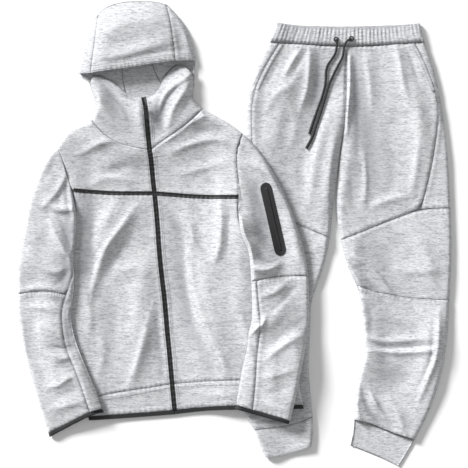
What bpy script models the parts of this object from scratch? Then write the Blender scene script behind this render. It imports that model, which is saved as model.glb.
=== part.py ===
"""A tracksuit laid flat: a hooded zip jacket, and joggers that lie partly under it.

Metres, +Z up. The set lies on Z = 0 and is seen from above, with the hood and the waistband
towards +Y. The origin is on the surface, in the middle of the set's outline. Left and right in the
names are as worn: the garments lie face up, so the wearer's right is at -X.

Each cut piece is a wall between seam lines. The seam lines are given in plan units, which run right
and down from the top left corner of the set's square plan, and each one is sampled once, so pieces
that share a seam share its points. Heights come from one function for each garment, so they meet.
"""
import math

import bmesh
import bpy
import numpy as np
from mathutils import Matrix

# Plan
PLAN_UNIT = 0.0023          # one plan unit, from the joggers' real length of 1.01 m
PLAN_CENTRE = (234.144, 233.916)

# Cloth
CLOTH = 0.0022              # bonded fleece
BAND_CLOTH = 0.0030         # waistband, two layers round an elastic
TAPE = 0.0008               # bonded tape and binding laid on the cloth
SEAM_GAP = 0.0003
EDGE_SENSE = (1.0, 0.37, 0.11)          # the way along a seam that both its pieces count as forward
SEAM_SHARE = 0.7            # how much of the gap each piece gives up, with some to spare on curves
END_SHARE = 1.1             # the same at the ends of a seam, where the cloth turns
LAY_GAP = 0.0006            # between garments that lie on each other
INNER_GAP = 0.0012          # least gap between the front and the back of a flat tube
ROUNDING = 0.0002           # kept over that gap where the walls are flattest

# Heights of the flat garments, above what they lie on
FLAT_HEIGHT = 0.0066        # front and back walls lying together
EDGE_HEIGHT = 0.0050        # where the front and back walls meet at a folded side
FOLD_RADIUS = 0.0090        # how far in the fold at a side reaches
FOLD_STATION = 0.36         # share of that at which the fold has a row of points
SWELL_REACH = 0.042         # how far in the cloth springs up beside a folded side
JOGGERS_SWELL = 0.009       # how high it springs up, for each garment part
BODY_SWELL = 0.007
SLEEVE_SWELL = 0.007
HOOD_SWELL = 0.006
COLLAR_SWELL = 0.004

# Rises that a part has besides
NECK_RISE = 0.007           # the fronts, towards the neck seam
NECK_RISE_REACH = 0.045
COLLAR_RISE = 0.012         # the collar, from the neck seam up
COLLAR_RISE_REACH = 0.080
CROWN_RISE = 0.024          # the hood's crown, from its outline in
CROWN_RISE_REACH = 0.040
CROWN_RISE_POWER = 1.5
CLIMB = (-0.022, 0.006)     # where a sleeve climbs onto the body, down from the end of the armhole

# Draping over what lies below
FIELD_STEP = 0.004
FIELD_CORNER = (-0.56, -0.58)
FIELD_COUNT = (281, 291)
FIELD_FLOOR = 0.0004         # a sheet lower than this lies on the floor
DRAPE_REACH = 12             # field steps that cloth bridges beside a drop
DRAPE_BLUR = 5

# Trims
ZIP_TAPE_WIDTH = 0.0050
ZIP_CHAIN_WIDTH = 0.0042
ZIP_CHAIN_HEIGHT = 0.0014
ZIP_END = 0.0020            # tape past the end of the chain
CHEST_TAPE_WIDTH = 0.009
CHEST_TAPE_START = 0.3 * FOLD_RADIUS    # where the tape begins and is flat, from the armhole in
CHEST_TAPE_FLAT = 0.4 * FOLD_RADIUS
POCKET_WIDTH = 0.026
POCKET_LENGTH = 0.172
POCKET_ZIP_WIDTH = 0.0056
WELT_WIDTH = 0.008
CORD_DIAMETER = 0.005
CORD_TIP_DIAMETER = 0.0062
CORD_TIP_LENGTH = 0.045
EYELET_RADIUS = 0.0050
EYELET_WIRE = 0.0013
EYELET_REACH = EYELET_RADIUS + EYELET_WIRE + SEAM_GAP
SHORTEST_SPAN = 0.004       # along a cord or a zip
GATHERS = 38
GATHER_DEPTH = 0.0017
GATHER_FADE = (1.0, 0.9, 0.5)           # from the top edge down to the seam
GATHER_CALM = (0.006, 0.016)            # flat beside the cords' eyelets

# Slider and pull tab of the front zip
SLIDER_SIZE = (0.0090, 0.0125, 0.0026)
BRIDGE_SIZE = (0.0020, 0.0064, 0.0028)
BRIDGE_SLOT = (0.0036, 0.0019)
BRIDGE_SINK = 0.0001        # how far the bridge and its slot reach into the slider's body
SLOT_SINK = 0.00005
SLIDER_EDGE = 0.0007
PULL_SIZE = (0.0068, 0.0240, 0.0012)
PULL_BAR = 0.0013
PULL_HOLE = (0.0030, 0.0044)
PULL_EDGE = 0.0004
SLIDER_AT = 0.17            # share of the collar's zip above the slider

# Corners where seam lines meet: name, plan x, plan y
CORNERS = {
    "zip_top": (143.5, 97), "zip_neck": (149.5, 150), "zip_yoke": (154.3, 193),
    "zip_band": (172, 384), "zip_bind": (174.6, 410.5), "zip_hem": (175, 414.5),
    "neck_r": (92, 119), "shoulder_r": (57, 147), "underarm_r": (72, 190), "split_r": (75.8, 208),
    "band_r": (81.5, 399), "bind_r": (88, 416.5), "hem_r": (89, 420.5),
    "neck_l": (203, 109), "shoulder_l": (243, 134), "underarm_l": (240, 197), "split_l": (238.2, 214),
    "band_l": (298, 379), "bind_l": (303, 404.5), "hem_l": (303.6, 408.5),
    "elbow_out_r": (18, 294), "elbow_in_r": (66, 295), "under_tip_r": (74, 271),
    "cuff_out_r": (48, 433.5), "cuff_mid_r": (90, 412), "cuff_in_r": (103, 408),
    "cuff_end_out_r": (49, 437.5), "cuff_end_in_r": (104.2, 412),
    "elbow_out_l": (308.3, 276), "elbow_in_l": (256.5, 280.3), "under_tip_l": (251, 281.3),
    "cuff_out_l": (290, 420), "cuff_mid_l": (252.5, 409.5), "cuff_in_l": (235, 404.5),
    "cuff_end_out_l": (289, 424), "cuff_end_in_l": (234, 408.3),
    "crown_r": (97, 15), "crown_l": (166, 4), "crown_tip_r": (89.5, 32), "crown_tip_l": (174.5, 12.5),
    "brim_r": (77, 74), "brim_l": (196, 61),
    "brim_seam_r": (90.5, 73.5), "brim_seam_l": (175.5, 61.6),
    "collar_top_r": (88, 79), "collar_top_l": (194.5, 71), "roll_r": (93, 74.5), "roll_l": (176, 64),
    "waist_top_r": (276, 22), "waist_top_l": (420, 23), "waist_r": (269, 42), "waist_l": (425, 42),
    "waist_mid": (346, 46), "crotch": (344.5, 127), "pocket_top_r": (280, 42.8),
    "pocket_top_l": (414, 43), "thigh_in_r": (330, 238), "thigh_side_r": (258, 211),
    "thigh_out_r": (236, 212), "thigh_in_l": (341, 240), "thigh_side_l": (421, 209),
    "thigh_out_l": (450.5, 208), "knee_in_r": (311, 300), "knee_out_r": (221, 300),
    "knee_in_l": (358, 286), "knee_out_l": (449.5, 300), "ankle_in_r": (313, 417),
    "ankle_out_r": (254, 430), "ankle_in_l": (354, 420), "ankle_out_l": (415, 440),
    "foot_in_r": (312, 446), "foot_out_r": (265, 458), "foot_in_l": (350, 446), "foot_out_l": (399, 467),
}

# Seam lines, top to bottom or left to right in plan:
# name, kind, spans, ends that start at a folded side, first corner, points between, last corner
SEAM_LINES = (
    ("zip_collar", "seam", 4, "", "zip_top", ((146, 110), (147.7, 130)), "zip_neck"),
    ("zip_upper", "seam", 9, "", "zip_neck", ((151, 160), (152.8, 180)), "zip_yoke"),
    ("zip_lower", "seam", 11, "", "zip_yoke",
     ((157, 220), (159, 250), (161, 270), (164.5, 300), (167, 330), (169, 350)), "zip_band"),
    ("zip_band_line", "seam", 2, "", "zip_band", ((173.5, 400),), "zip_bind"),
    ("zip_bind_line", "seam", 1, "", "zip_bind", (), "zip_hem"),

    ("shoulder_line_r", "fold", 2, "", "shoulder_r", ((66, 130), (75, 125), (85, 121.5)), "neck_r"),
    ("neck_seam_r", "seam", 5, "first", "neck_r", ((97, 131), (107, 138.5), (130, 147)), "zip_neck"),
    ("armhole_r", "seam", 9, "both", "shoulder_r", ((62, 158), (66, 172)), "underarm_r"),
    ("yoke_r", "seam", 7, "first", "underarm_r", ((112, 193),), "zip_yoke"),
    ("under_r", "touch", 1, "", "underarm_r", (), "split_r"),
    ("side_r", "fold", 10, "", "split_r",
     ((74, 218), (67, 234), (61.5, 252), (60, 280), (63, 320), (70, 360)), "band_r"),
    ("band_seam_r", "seam", 7, "first", "band_r", ((100, 396), (120, 392), (140, 389)), "zip_band"),
    ("band_side_r", "fold", 2, "", "band_r", (), "bind_r"),
    ("bind_seam_r", "seam", 7, "first", "bind_r", ((130, 414), (150, 412.5)), "zip_bind"),
    ("bind_side_r", "fold", 1, "", "bind_r", (), "hem_r"),
    ("hem_line_r", "seam", 7, "first", "hem_r", ((130, 418), (150, 416.5)), "zip_hem"),

    ("shoulder_line_l", "fold", 3, "", "neck_l", ((213, 114.5), (228, 122)), "shoulder_l"),
    ("neck_seam_l", "seam", 6, "last", "zip_neck", ((163, 140.5), (178, 131), (188, 124)), "neck_l"),
    ("armhole_l", "seam", 9, "both", "shoulder_l", ((236.5, 150), (237, 168), (239, 185)), "underarm_l"),
    ("yoke_l", "seam", 9, "last", "zip_yoke", ((197, 196.5),), "underarm_l"),
    ("under_l", "touch", 1, "", "underarm_l", (), "split_l"),
    ("side_l", "fold", 10, "", "split_l",
     ((240, 222), (248, 240), (262, 268), (275, 300), (287, 345)), "band_l"),
    ("band_seam_l", "seam", 9, "last", "zip_band", ((200, 381.5), (232, 380)), "band_l"),
    ("band_side_l", "fold", 2, "", "band_l", (), "bind_l"),
    ("bind_seam_l", "seam", 9, "last", "zip_bind", ((200, 407.5), (233, 405.5)), "bind_l"),
    ("bind_side_l", "fold", 1, "", "bind_l", (), "hem_l"),
    ("hem_line_l", "seam", 9, "last", "zip_hem", ((200, 411.5), (233, 409.5)), "hem_l"),

    ("neck_back", "seam", 11, "both", "neck_r", ((120, 123), (150, 124), (180, 118)), "neck_l"),

    ("sleeve_out_upper_r", "fold", 9, "", "shoulder_r",
     ((48, 155), (40, 172), (33, 190), (27, 210), (22, 235), (18, 260), (16.3, 278)), "elbow_out_r"),
    ("sleeve_out_lower_r", "fold", 7, "", "elbow_out_r",
     ((17, 310), (20, 327), (24, 348), (30, 373), (38, 400), (44, 420)), "cuff_out_r"),
    ("sleeve_in_upper_r", "fold", 8, "", "split_r", ((77, 228), (74.5, 250)), "under_tip_r"),
    ("sleeve_in_lower_r", "fold", 7, "", "under_tip_r",
     ((76, 284), (71.5, 303), (70, 320), (74, 336), (83, 360), (95, 388)), "cuff_in_r"),
    ("under_seam_upper_r", "seam", 2, "", "elbow_in_r", ((70, 285),), "under_tip_r"),
    ("under_seam_lower_r", "seam", 7, "", "elbow_in_r",
     ((61, 306), (63, 330), (66, 350), (76, 371), (84, 394)), "cuff_mid_r"),
    ("elbow_seam_r", "seam", 7, "first", "elbow_out_r", ((34, 291.5), (52, 291.5)), "elbow_in_r"),
    ("cuff_seam_upper_r", "seam", 7, "first", "cuff_out_r", (), "cuff_mid_r"),
    ("cuff_seam_under_r", "seam", 2, "last", "cuff_mid_r", (), "cuff_in_r"),
    ("cuff_side_out_r", "fold", 1, "", "cuff_out_r", (), "cuff_end_out_r"),
    ("cuff_side_in_r", "fold", 1, "", "cuff_in_r", (), "cuff_end_in_r"),
    ("cuff_end_line_r", "seam", 9, "both", "cuff_end_out_r", ((90, 416),), "cuff_end_in_r"),

    ("sleeve_out_upper_l", "fold", 9, "", "shoulder_l",
     ((250, 140), (262, 155), (272, 170), (287, 200), (298, 230), (306, 257)), "elbow_out_l"),
    ("sleeve_out_lower_l", "fold", 7, "", "elbow_out_l",
     ((309, 300), (309, 320), (307, 340), (303, 360), (299, 380), (295, 400)), "cuff_out_l"),
    ("sleeve_in_upper_l", "fold", 8, "", "split_l", ((241, 235), (248, 249), (250.2, 266)), "under_tip_l"),
    ("sleeve_in_lower_l", "fold", 7, "", "under_tip_l",
     ((252, 296), (252, 320), (247.5, 337), (245, 352), (242, 368), (239, 385)), "cuff_in_l"),
    ("under_seam_upper_l", "seam", 2, "", "under_tip_l", (), "elbow_in_l"),
    ("under_seam_lower_l", "seam", 7, "", "elbow_in_l",
     ((257, 294), (259.8, 312), (260.3, 330), (257, 350), (255.5, 380)), "cuff_mid_l"),
    ("elbow_seam_l", "seam", 7, "last", "elbow_in_l", ((268, 277.8), (290, 275.8)), "elbow_out_l"),
    ("cuff_seam_upper_l", "seam", 7, "last", "cuff_mid_l", (), "cuff_out_l"),
    ("cuff_seam_under_l", "seam", 2, "first", "cuff_in_l", (), "cuff_mid_l"),
    ("cuff_side_out_l", "fold", 1, "", "cuff_out_l", (), "cuff_end_out_l"),
    ("cuff_side_in_l", "fold", 1, "", "cuff_in_l", (), "cuff_end_in_l"),
    ("cuff_end_line_l", "seam", 9, "both", "cuff_end_in_l", ((252.5, 413.5),), "cuff_end_out_l"),

    ("crown_tip_r", "fold", 3, "", "crown_tip_r", ((92.3, 23),), "crown_r"),
    ("crown_side_r", "fold", 4, "", "crown_tip_r", ((86, 43), (82, 55), (79, 66)), "brim_r"),
    ("crown_top", "fold", 11, "", "crown_r",
     ((103, 9.2), (110, 5), (125, 1.5), (145, 1.0), (158, 1.8)), "crown_l"),
    ("crown_tip_l", "fold", 3, "", "crown_l", ((170.5, 8.3),), "crown_tip_l"),
    ("crown_side_l", "fold", 4, "", "crown_tip_l",
     ((181, 20), (187, 28), (190.5, 38), (193.5, 48)), "brim_l"),
    ("hood_seam_r", "seam", 4, "", "crown_r", ((96.4, 24), (95, 40), (92.3, 57)), "brim_seam_r"),
    ("hood_seam_l", "seam", 4, "", "crown_l", ((169, 15), (172, 30), (174, 45)), "brim_seam_l"),
    ("brim_edge_r", "seam", 3, "first", "brim_r", (), "brim_seam_r"),
    ("brim_edge", "seam", 11, "", "brim_seam_r", ((110, 71), (130, 68.5), (152, 64.8)), "brim_seam_l"),
    ("brim_edge_l", "seam", 3, "last", "brim_seam_l", (), "brim_l"),
    ("hood_ear_r", "seam", 1, "", "brim_r", (), "collar_top_r"),
    ("hood_ear_l", "seam", 1, "", "brim_l", (), "collar_top_l"),
    ("collar_side_r", "fold", 4, "", "collar_top_r", ((91.5, 90), (95, 101), (95.3, 112)), "neck_r"),
    ("collar_side_l", "fold", 4, "", "collar_top_l",
     ((194.5, 82), (193.8, 91), (190.6, 99), (195, 105.5)), "neck_l"),
    ("collar_roll_r", "fold", 5, "", "roll_r", ((104, 76.5), (113, 81), (124, 92.5), (134, 96.5)), "zip_top"),
    ("collar_roll_l", "fold", 6, "", "zip_top", ((151, 96.5), (157.5, 91), (164, 75)), "roll_l"),
    ("collar_peak_r", "seam", 4, "", "roll_r", ((89.5, 76), (88.2, 82), (92.5, 92.5), (95.6, 106)), "neck_r"),
    ("collar_peak_l", "seam", 4, "", "roll_l",
     ((187, 64.5), (193.6, 72), (194.5, 83), (190.6, 99), (195, 105.5)), "neck_l"),

    ("waist_top_front", "seam", 2 * GATHERS, "both", "waist_top_r",
     ((300, 27), (345, 28), (380, 28), (400, 26)), "waist_top_l"),
    ("waist_seam_front", "seam", 2 * GATHERS, "both", "waist_r",
     ((280, 42.8), (300, 44.2), (325, 45.4), (346, 46), (370, 45.5), (395, 44.3), (414, 43)), "waist_l"),
    ("waist_top_back", "seam", 18, "both", "waist_top_r", ((300, 25), (345, 26), (400, 24.5)), "waist_top_l"),
    ("waist_seam_back", "seam", 18, "both", "waist_r",
     ((280, 42.8), (300, 44.2), (325, 45.4), (346, 46), (370, 45.5), (395, 44.3), (414, 43)), "waist_l"),
    ("waist_side_r", "fold", 1, "", "waist_top_r", (), "waist_r"),
    ("waist_side_l", "fold", 1, "", "waist_top_l", (), "waist_l"),
    ("waist_seam_side_r", "seam", 3, "first", "waist_r", (), "pocket_top_r"),
    ("waist_seam_r", "seam", 6, "", "pocket_top_r", ((300, 44.2), (325, 45.4)), "waist_mid"),
    ("waist_seam_l", "seam", 6, "", "waist_mid", ((370, 45.5), (395, 44.3)), "pocket_top_l"),
    ("waist_seam_side_l", "seam", 3, "last", "pocket_top_l", (), "waist_l"),
    ("waist_seam_back_r", "seam", 9, "first", "waist_r", ((300, 44.2), (325, 45.4)), "waist_mid"),
    ("waist_seam_back_l", "seam", 9, "last", "waist_mid", ((370, 45.5), (395, 44.3)), "waist_l"),
    ("centre_seam", "seam", 4, "", "waist_mid", ((346.3, 75), (345.7, 105)), "crotch"),
    ("leg_in_thigh_r", "fold", 6, "", "crotch", ((341, 145), (338, 166), (334, 199)), "thigh_in_r"),
    ("leg_in_thigh_l", "fold", 6, "", "crotch",
     ((341.5, 145), (338.5, 172), (336, 203), (337.5, 222)), "thigh_in_l"),
    ("leg_out_thigh_r", "fold", 10, "", "waist_r",
     ((258, 65), (249, 92), (246, 112), (247, 130), (244, 165)), "thigh_out_r"),
    ("leg_out_thigh_l", "fold", 10, "", "waist_l",
     ((433, 66), (440, 95), (445, 128), (448.5, 165)), "thigh_out_l"),
    ("side_seam_r", "seam", 10, "", "pocket_top_r",
     ((268, 62), (254.5, 90), (251, 112), (252, 135), (253, 170)), "thigh_side_r"),
    ("side_seam_l", "seam", 10, "", "pocket_top_l",
     ((424, 62), (435.5, 93), (438.5, 115), (434, 150), (428, 182)), "thigh_side_l"),
    ("thigh_seam_side_r", "seam", 3, "first", "thigh_out_r", (), "thigh_side_r"),
    ("thigh_seam_r", "seam", 6, "last", "thigh_side_r", ((283, 218), (309, 229)), "thigh_in_r"),
    ("thigh_seam_l", "seam", 6, "first", "thigh_in_l", ((352, 235.5), (385, 222.5)), "thigh_side_l"),
    ("thigh_seam_side_l", "seam", 3, "last", "thigh_side_l", (), "thigh_out_l"),
    ("leg_in_knee_r", "fold", 3, "", "thigh_in_r", ((327, 255), (321, 275)), "knee_in_r"),
    ("leg_in_knee_l", "fold", 3, "", "thigh_in_l", ((344, 254), (350, 274)), "knee_in_l"),
    ("leg_out_knee_r", "fold", 3, "", "thigh_out_r", ((231, 235), (224, 272)), "knee_out_r"),
    ("leg_out_knee_l", "fold", 3, "", "thigh_out_l", ((452, 240), (451.5, 270)), "knee_out_l"),
    ("knee_seam_r", "seam", 9, "both", "knee_out_r", ((245, 303), (290, 304)), "knee_in_r"),
    ("knee_seam_l", "seam", 9, "both", "knee_in_l", ((370, 289.5), (385, 293.5), (410, 298)), "knee_out_l"),
    ("leg_in_shin_r", "fold", 8, "", "knee_in_r", ((310, 335), (308.5, 365), (310, 390)), "ankle_in_r"),
    ("leg_in_shin_l", "fold", 8, "", "knee_in_l",
     ((362, 308), (364, 335), (366.5, 349), (361.5, 368), (355.5, 392)), "ankle_in_l"),
    ("leg_out_shin_r", "fold", 8, "", "knee_out_r", ((221, 335), (226, 368), (238, 400)), "ankle_out_r"),
    ("leg_out_shin_l", "fold", 8, "", "knee_out_l",
     ((448.3, 330), (445.5, 355), (440, 381), (430, 410)), "ankle_out_l"),
    ("ankle_seam_r", "seam", 9, "both", "ankle_out_r", ((275, 428), (295, 424)), "ankle_in_r"),
    ("ankle_seam_l", "seam", 9, "both", "ankle_in_l", ((371, 423.5), (390, 432)), "ankle_out_l"),
    ("foot_side_in_r", "fold", 2, "", "ankle_in_r", ((314, 432),), "foot_in_r"),
    ("foot_side_out_r", "fold", 2, "", "ankle_out_r", ((258.5, 444),), "foot_out_r"),
    ("foot_side_in_l", "fold", 2, "", "ankle_in_l", ((353, 434),), "foot_in_l"),
    ("foot_side_out_l", "fold", 2, "", "ankle_out_l", ((407, 454),), "foot_out_l"),
    ("foot_end_r", "seam", 9, "both", "foot_out_r", ((280, 456), (298, 451)), "foot_in_r"),
    ("foot_end_l", "seam", 9, "both", "foot_in_l", ((365, 451.5), (383, 459)), "foot_out_l"),
)

# Folds that stand up (+) or sink (-): plan x, y of both ends, half width in mm, height in mm
JACKET_FOLDS = (
    (84, 140, 128, 152, 16, 7), (88, 172, 118, 160, 22, -2),
    (172, 140, 212, 118, 16, 6), (176, 152, 218, 144, 16, 5),
    (104, 246, 130, 214, 20, 7), (112, 255, 122, 308, 22, -3),
    (128, 330, 146, 384, 22, 6), (158, 312, 160, 372, 14, -2),
    (178, 262, 186, 310, 18, -3), (188, 312, 212, 374, 16, 5), (222, 232, 218, 262, 18, 7),
    (92, 330, 110, 372, 22, 5), (240, 300, 262, 360, 26, 5), (196, 200, 196, 232, 22, 4),
)
SLEEVE_FOLDS = (
    (22, 268, 60, 262, 18, 6), (28, 230, 62, 250, 18, 7), (40, 200, 60, 176, 20, 6),
    (22, 312, 50, 322, 18, 5), (34, 350, 64, 345, 16, -3), (30, 336, 60, 330, 18, 6),
    (44, 385, 84, 378, 20, 6), (52, 410, 92, 396, 18, 5), (52, 300, 60, 303, 12, -3),
    (244, 226, 250, 248, 14, 8), (256, 240, 276, 262, 20, -3), (254, 268, 300, 266, 14, 6),
    (262, 348, 304, 292, 20, -3), (268, 312, 300, 300, 18, 6), (252, 366, 296, 352, 20, 7),
    (244, 392, 288, 400, 20, 5), (264, 170, 282, 200, 26, 5),
)
JOGGER_FOLDS = (
    (349, 62, 349, 118, 9, 5), (357, 52, 356, 150, 12, -3), (308, 56, 304, 108, 20, 6),
    (319, 54, 318, 106, 14, -2), (285, 75, 300, 52, 12, 6), (266, 96, 290, 82, 18, 5),
    (399, 54, 402, 100, 16, 5), (411, 48, 418, 84, 12, -2), (374, 70, 380, 140, 26, 5),
    (360, 165, 358, 222, 14, 6), (370, 152, 370, 202, 12, -2), (396, 150, 392, 200, 24, 5),
    (426, 120, 416, 190, 22, 5), (268, 140, 276, 210, 30, 6), (318, 150, 306, 215, 24, 6),
    (352, 262, 384, 298, 14, -2), (362, 258, 398, 284, 16, 7), (378, 240, 430, 232, 24, 6),
    (372, 346, 436, 347, 10, -3), (372, 334, 438, 334, 16, 7), (370, 360, 432, 362, 16, 7),
    (436, 312, 434, 400, 16, 5), (366, 390, 380, 416, 12, 6), (384, 392, 398, 428, 12, 6),
    (404, 396, 410, 428, 12, 5), (244, 330, 290, 340, 24, 6), (250, 370, 296, 366, 20, 7),
    (270, 396, 276, 420, 14, 5), (294, 392, 296, 416, 14, 5),
)
HOOD_FOLDS = (
    (98, 30, 150, 22, 26, 4), (100, 52, 165, 40, 26, 5), (94, 70, 190, 56, 8, 5),
)
COLLAR_FOLDS = (
    (100, 84, 128, 104, 10, -7), (114, 84, 138, 99, 8, 5), (98, 98, 120, 126, 20, 5),
    (186, 80, 164, 112, 9, -8), (184, 72, 164, 92, 9, 6), (186, 94, 170, 124, 14, 8),
    (160, 112, 158, 138, 9, -4),
)

# Route of each drawcord's end, from its eyelet: plan x, y
CORD_ROUTES = {
    "right": ((336.2, 39.5), (336.9, 44), (335.4, 53), (331.5, 59.5), (328.0, 64.5), (326.0, 71),
              (325.7, 78), (325.2, 84), (323.6, 91), (321.2, 99), (318.3, 107), (315.2, 116),
              (312.1, 125), (309.3, 134)),
    "left": ((351.4, 38.7), (347.8, 40.3), (344.4, 45.5), (343.6, 51), (342.2, 57.5), (338.8, 64),
             (334.9, 71.5), (331.4, 79), (328.6, 86), (326.6, 93), (324.2, 101), (321.5, 110),
             (318.6, 119), (315.4, 128), (311.7, 138), (306.2, 148.5)),
}
POCKET_ENDS = ((264.3, 182), (281.7, 256.5))

COLOURS = {
    "cloth": ((0.62, 0.63, 0.65), 0.9),
    "trim": ((0.012, 0.012, 0.014), 0.55),
    "hardware": ((0.015, 0.015, 0.017), 0.35),
    "cord": ((0.010, 0.010, 0.011), 0.8),
}


# Plan geometry

def place(points):
    """Plan units to metres in the row frame."""
    flat = np.asarray(points, dtype=float).reshape(-1, 2)
    x = (flat[:, 0] - PLAN_CENTRE[0]) * PLAN_UNIT
    y = (PLAN_CENTRE[1] - flat[:, 1]) * PLAN_UNIT
    return np.stack([x, y], axis=1)


def smooth(points, steps=24):
    """A dense smooth line through the points."""
    if len(points) == 2:
        share = np.linspace(0, 1, steps + 1)[:, None]
        return points[0] * (1 - share) + points[1] * share
    first = 2 * points[0] - points[1]
    last = 2 * points[-1] - points[-2]
    knots = np.vstack([first, points, last])
    dense = [points[0]]
    for before, start, end, after in zip(knots, knots[1:], knots[2:], knots[3:]):
        for step in range(1, steps + 1):
            t = step / steps
            dense.append(0.5 * (2 * start + (end - before) * t
                                + (2 * before - 5 * start + 4 * end - after) * t ** 2
                                + (3 * start - before - 3 * end + after) * t ** 3))
    return np.array(dense)


def along(line):
    """Distance from the start of a line to each of its points."""
    return np.concatenate([[0.0], np.cumsum(np.linalg.norm(np.diff(line, axis=0), axis=1))])


def read(line, distances):
    """Points at the given distances along a dense line."""
    length = along(line)
    return np.stack([np.interp(distances, length, line[:, axis]) for axis in range(line.shape[1])], axis=1)


def spacing(length, spans, ends):
    """Distances along a seam, with two short spans where it starts at a folded side."""
    roll = (0.0, FOLD_STATION * FOLD_RADIUS, FOLD_RADIUS)
    rolls = {"": 0, "first": 1, "last": 1, "both": 2}[ends]
    plain = spans - 2 * rolls
    if plain < 1 or length < (2 * rolls + 0.5) * FOLD_RADIUS:
        return np.linspace(0, length, spans + 1)
    low = roll if ends in ("first", "both") else (0.0,)
    high = [length - distance for distance in reversed(roll)] if ends in ("last", "both") else [length]
    return np.concatenate([low[:-1], np.linspace(low[-1], high[0], plain + 1), high[1:]])


def sample_lines():
    lines = {}
    for name, kind, spans, ends, first, between, last in SEAM_LINES:
        dense = smooth(place([CORNERS[first], *between, CORNERS[last]]))
        lines[name] = (read(dense, spacing(along(dense)[-1], spans, ends)), kind)
    return lines


LINES = sample_lines()


def side(*names):
    """The points and kinds of some seam lines, one after the other; a minus reads one backwards."""
    points, kinds = [], []
    for name in names:
        line, kind = LINES[name.lstrip("-")]
        if name.startswith("-"):
            line = line[::-1]
        skip = 1 if points else 0
        points.extend(line[skip:])
        kinds.extend([kind] * (len(line) - skip))
        if skip:
            joint = len(points) - len(line)
            if kind != "fold":
                kinds[joint] = kind
    return np.array(points), np.array(kinds)


def share_of(points):
    length = along(points)
    if length[-1] < 1e-9:
        return np.linspace(0, 1, len(points))
    return length / length[-1]


def patch(top, bottom, left, right):
    """Plan points [row][column] inside four sides, all read downwards or to the right."""
    u_top, u_bottom = share_of(top), share_of(bottom)
    v_left, v_right = share_of(left), share_of(right)
    v_mean = 0.5 * (v_left + v_right)[:, None]
    u = (1 - v_mean) * u_top[None] + v_mean * u_bottom[None]
    v = (1 - u) * v_left[:, None] + u * v_right[:, None]
    u, v = u[..., None], v[..., None]
    rows = (1 - v) * top[None] + v * bottom[None] + (1 - u) * left[:, None] + u * right[:, None]
    corners = ((1 - u) * (1 - v) * top[0] + u * (1 - v) * top[-1]
               + (1 - u) * v * bottom[0] + u * v * bottom[-1])
    return rows - corners


def distance_to(points, lines):
    """Distance from each point to the nearest of some lines, and the way away from it."""
    flat = points.reshape(-1, 2)
    best = np.full(len(flat), np.inf)
    away = np.zeros_like(flat)
    for line in lines:
        for start, end in zip(line, line[1:]):
            step = end - start
            share = np.clip(((flat - start) @ step) / max(step @ step, 1e-12), 0, 1)
            offset = flat - (start + share[:, None] * step)
            distance = np.linalg.norm(offset, axis=1)
            nearer = distance < best
            best[nearer] = distance[nearer]
            away[nearer] = offset[nearer] / np.maximum(distance[nearer], 1e-9)[:, None]
    return best.reshape(points.shape[:-1]), away.reshape(points.shape)


def folds_at(points, folds):
    """Height of the folds at each point."""
    height = np.zeros(points.shape[:-1])
    for x0, y0, x1, y1, half_width, rise in folds:
        distance, _ = distance_to(points, [place([(x0, y0), (x1, y1)])])
        height += rise / 1000 * np.exp(-(distance / (half_width / 1000)) ** 2)
    return height


def ease(value, low, high):
    share = np.clip((value - low) / (high - low), 0, 1)
    return share * share * (3 - 2 * share)


# Surfaces to lie on

class Field:
    """Highest cloth so far on a square grid, and a smooth sheet draped over it."""

    def __init__(self):
        self.low = np.array(FIELD_CORNER)
        self.count = FIELD_COUNT
        self.height = np.zeros(self.count)
        self.sheet = self.height

    def add(self, grid, fineness=12):
        rows, columns = grid.shape[0] - 1, grid.shape[1] - 1
        share = (np.arange(fineness) + 0.5) / fineness
        v, u = np.meshgrid(share, share, indexing="ij")
        for row in range(rows):
            for column in range(columns):
                a, b = grid[row, column], grid[row, column + 1]
                c, d = grid[row + 1, column], grid[row + 1, column + 1]
                points = ((1 - v)[..., None] * ((1 - u)[..., None] * a + u[..., None] * b)
                          + v[..., None] * ((1 - u)[..., None] * c + u[..., None] * d)).reshape(-1, 3)
                index = np.rint((points[:, :2] - self.low) / FIELD_STEP).astype(int)
                np.maximum.at(self.height, (index[:, 0], index[:, 1]), points[:, 2])

    def drape(self):
        reach = range(-DRAPE_REACH, DRAPE_REACH + 1)
        high = self.height.copy()
        for dx in reach:
            for dy in reach:
                if dx * dx + dy * dy <= DRAPE_REACH ** 2:
                    high = np.maximum(high, np.roll(self.height, (dx, dy), axis=(0, 1)))
        size = 2 * DRAPE_BLUR + 1
        for axis in (0, 1):
            high = sum(np.roll(high, shift, axis=axis) for shift in range(-DRAPE_BLUR, DRAPE_BLUR + 1)) / size
        self.sheet = high

    def at(self, points):
        spot = (points - self.low) / FIELD_STEP
        cell = np.clip(np.floor(spot).astype(int), 0, np.array(self.count) - 2)
        share = spot - cell
        x, y = cell[..., 0], cell[..., 1]
        sx, sy = share[..., 0], share[..., 1]
        height = ((1 - sx) * (1 - sy) * self.sheet[x, y] + sx * (1 - sy) * self.sheet[x + 1, y]
                  + (1 - sx) * sy * self.sheet[x, y + 1] + sx * sy * self.sheet[x + 1, y + 1])
        return np.where(height > FIELD_FLOOR, height + LAY_GAP, 0.0)


def bridged(height):
    """Heights down each column, with the places over a seam's gap filled in from both sides of it."""
    filled = height.copy()
    station = np.arange(len(height))
    for column in range(height.shape[1]):
        known = np.isfinite(height[:, column])
        filled[:, column] = np.interp(station, station[known], height[known, column])
    return filled


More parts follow.
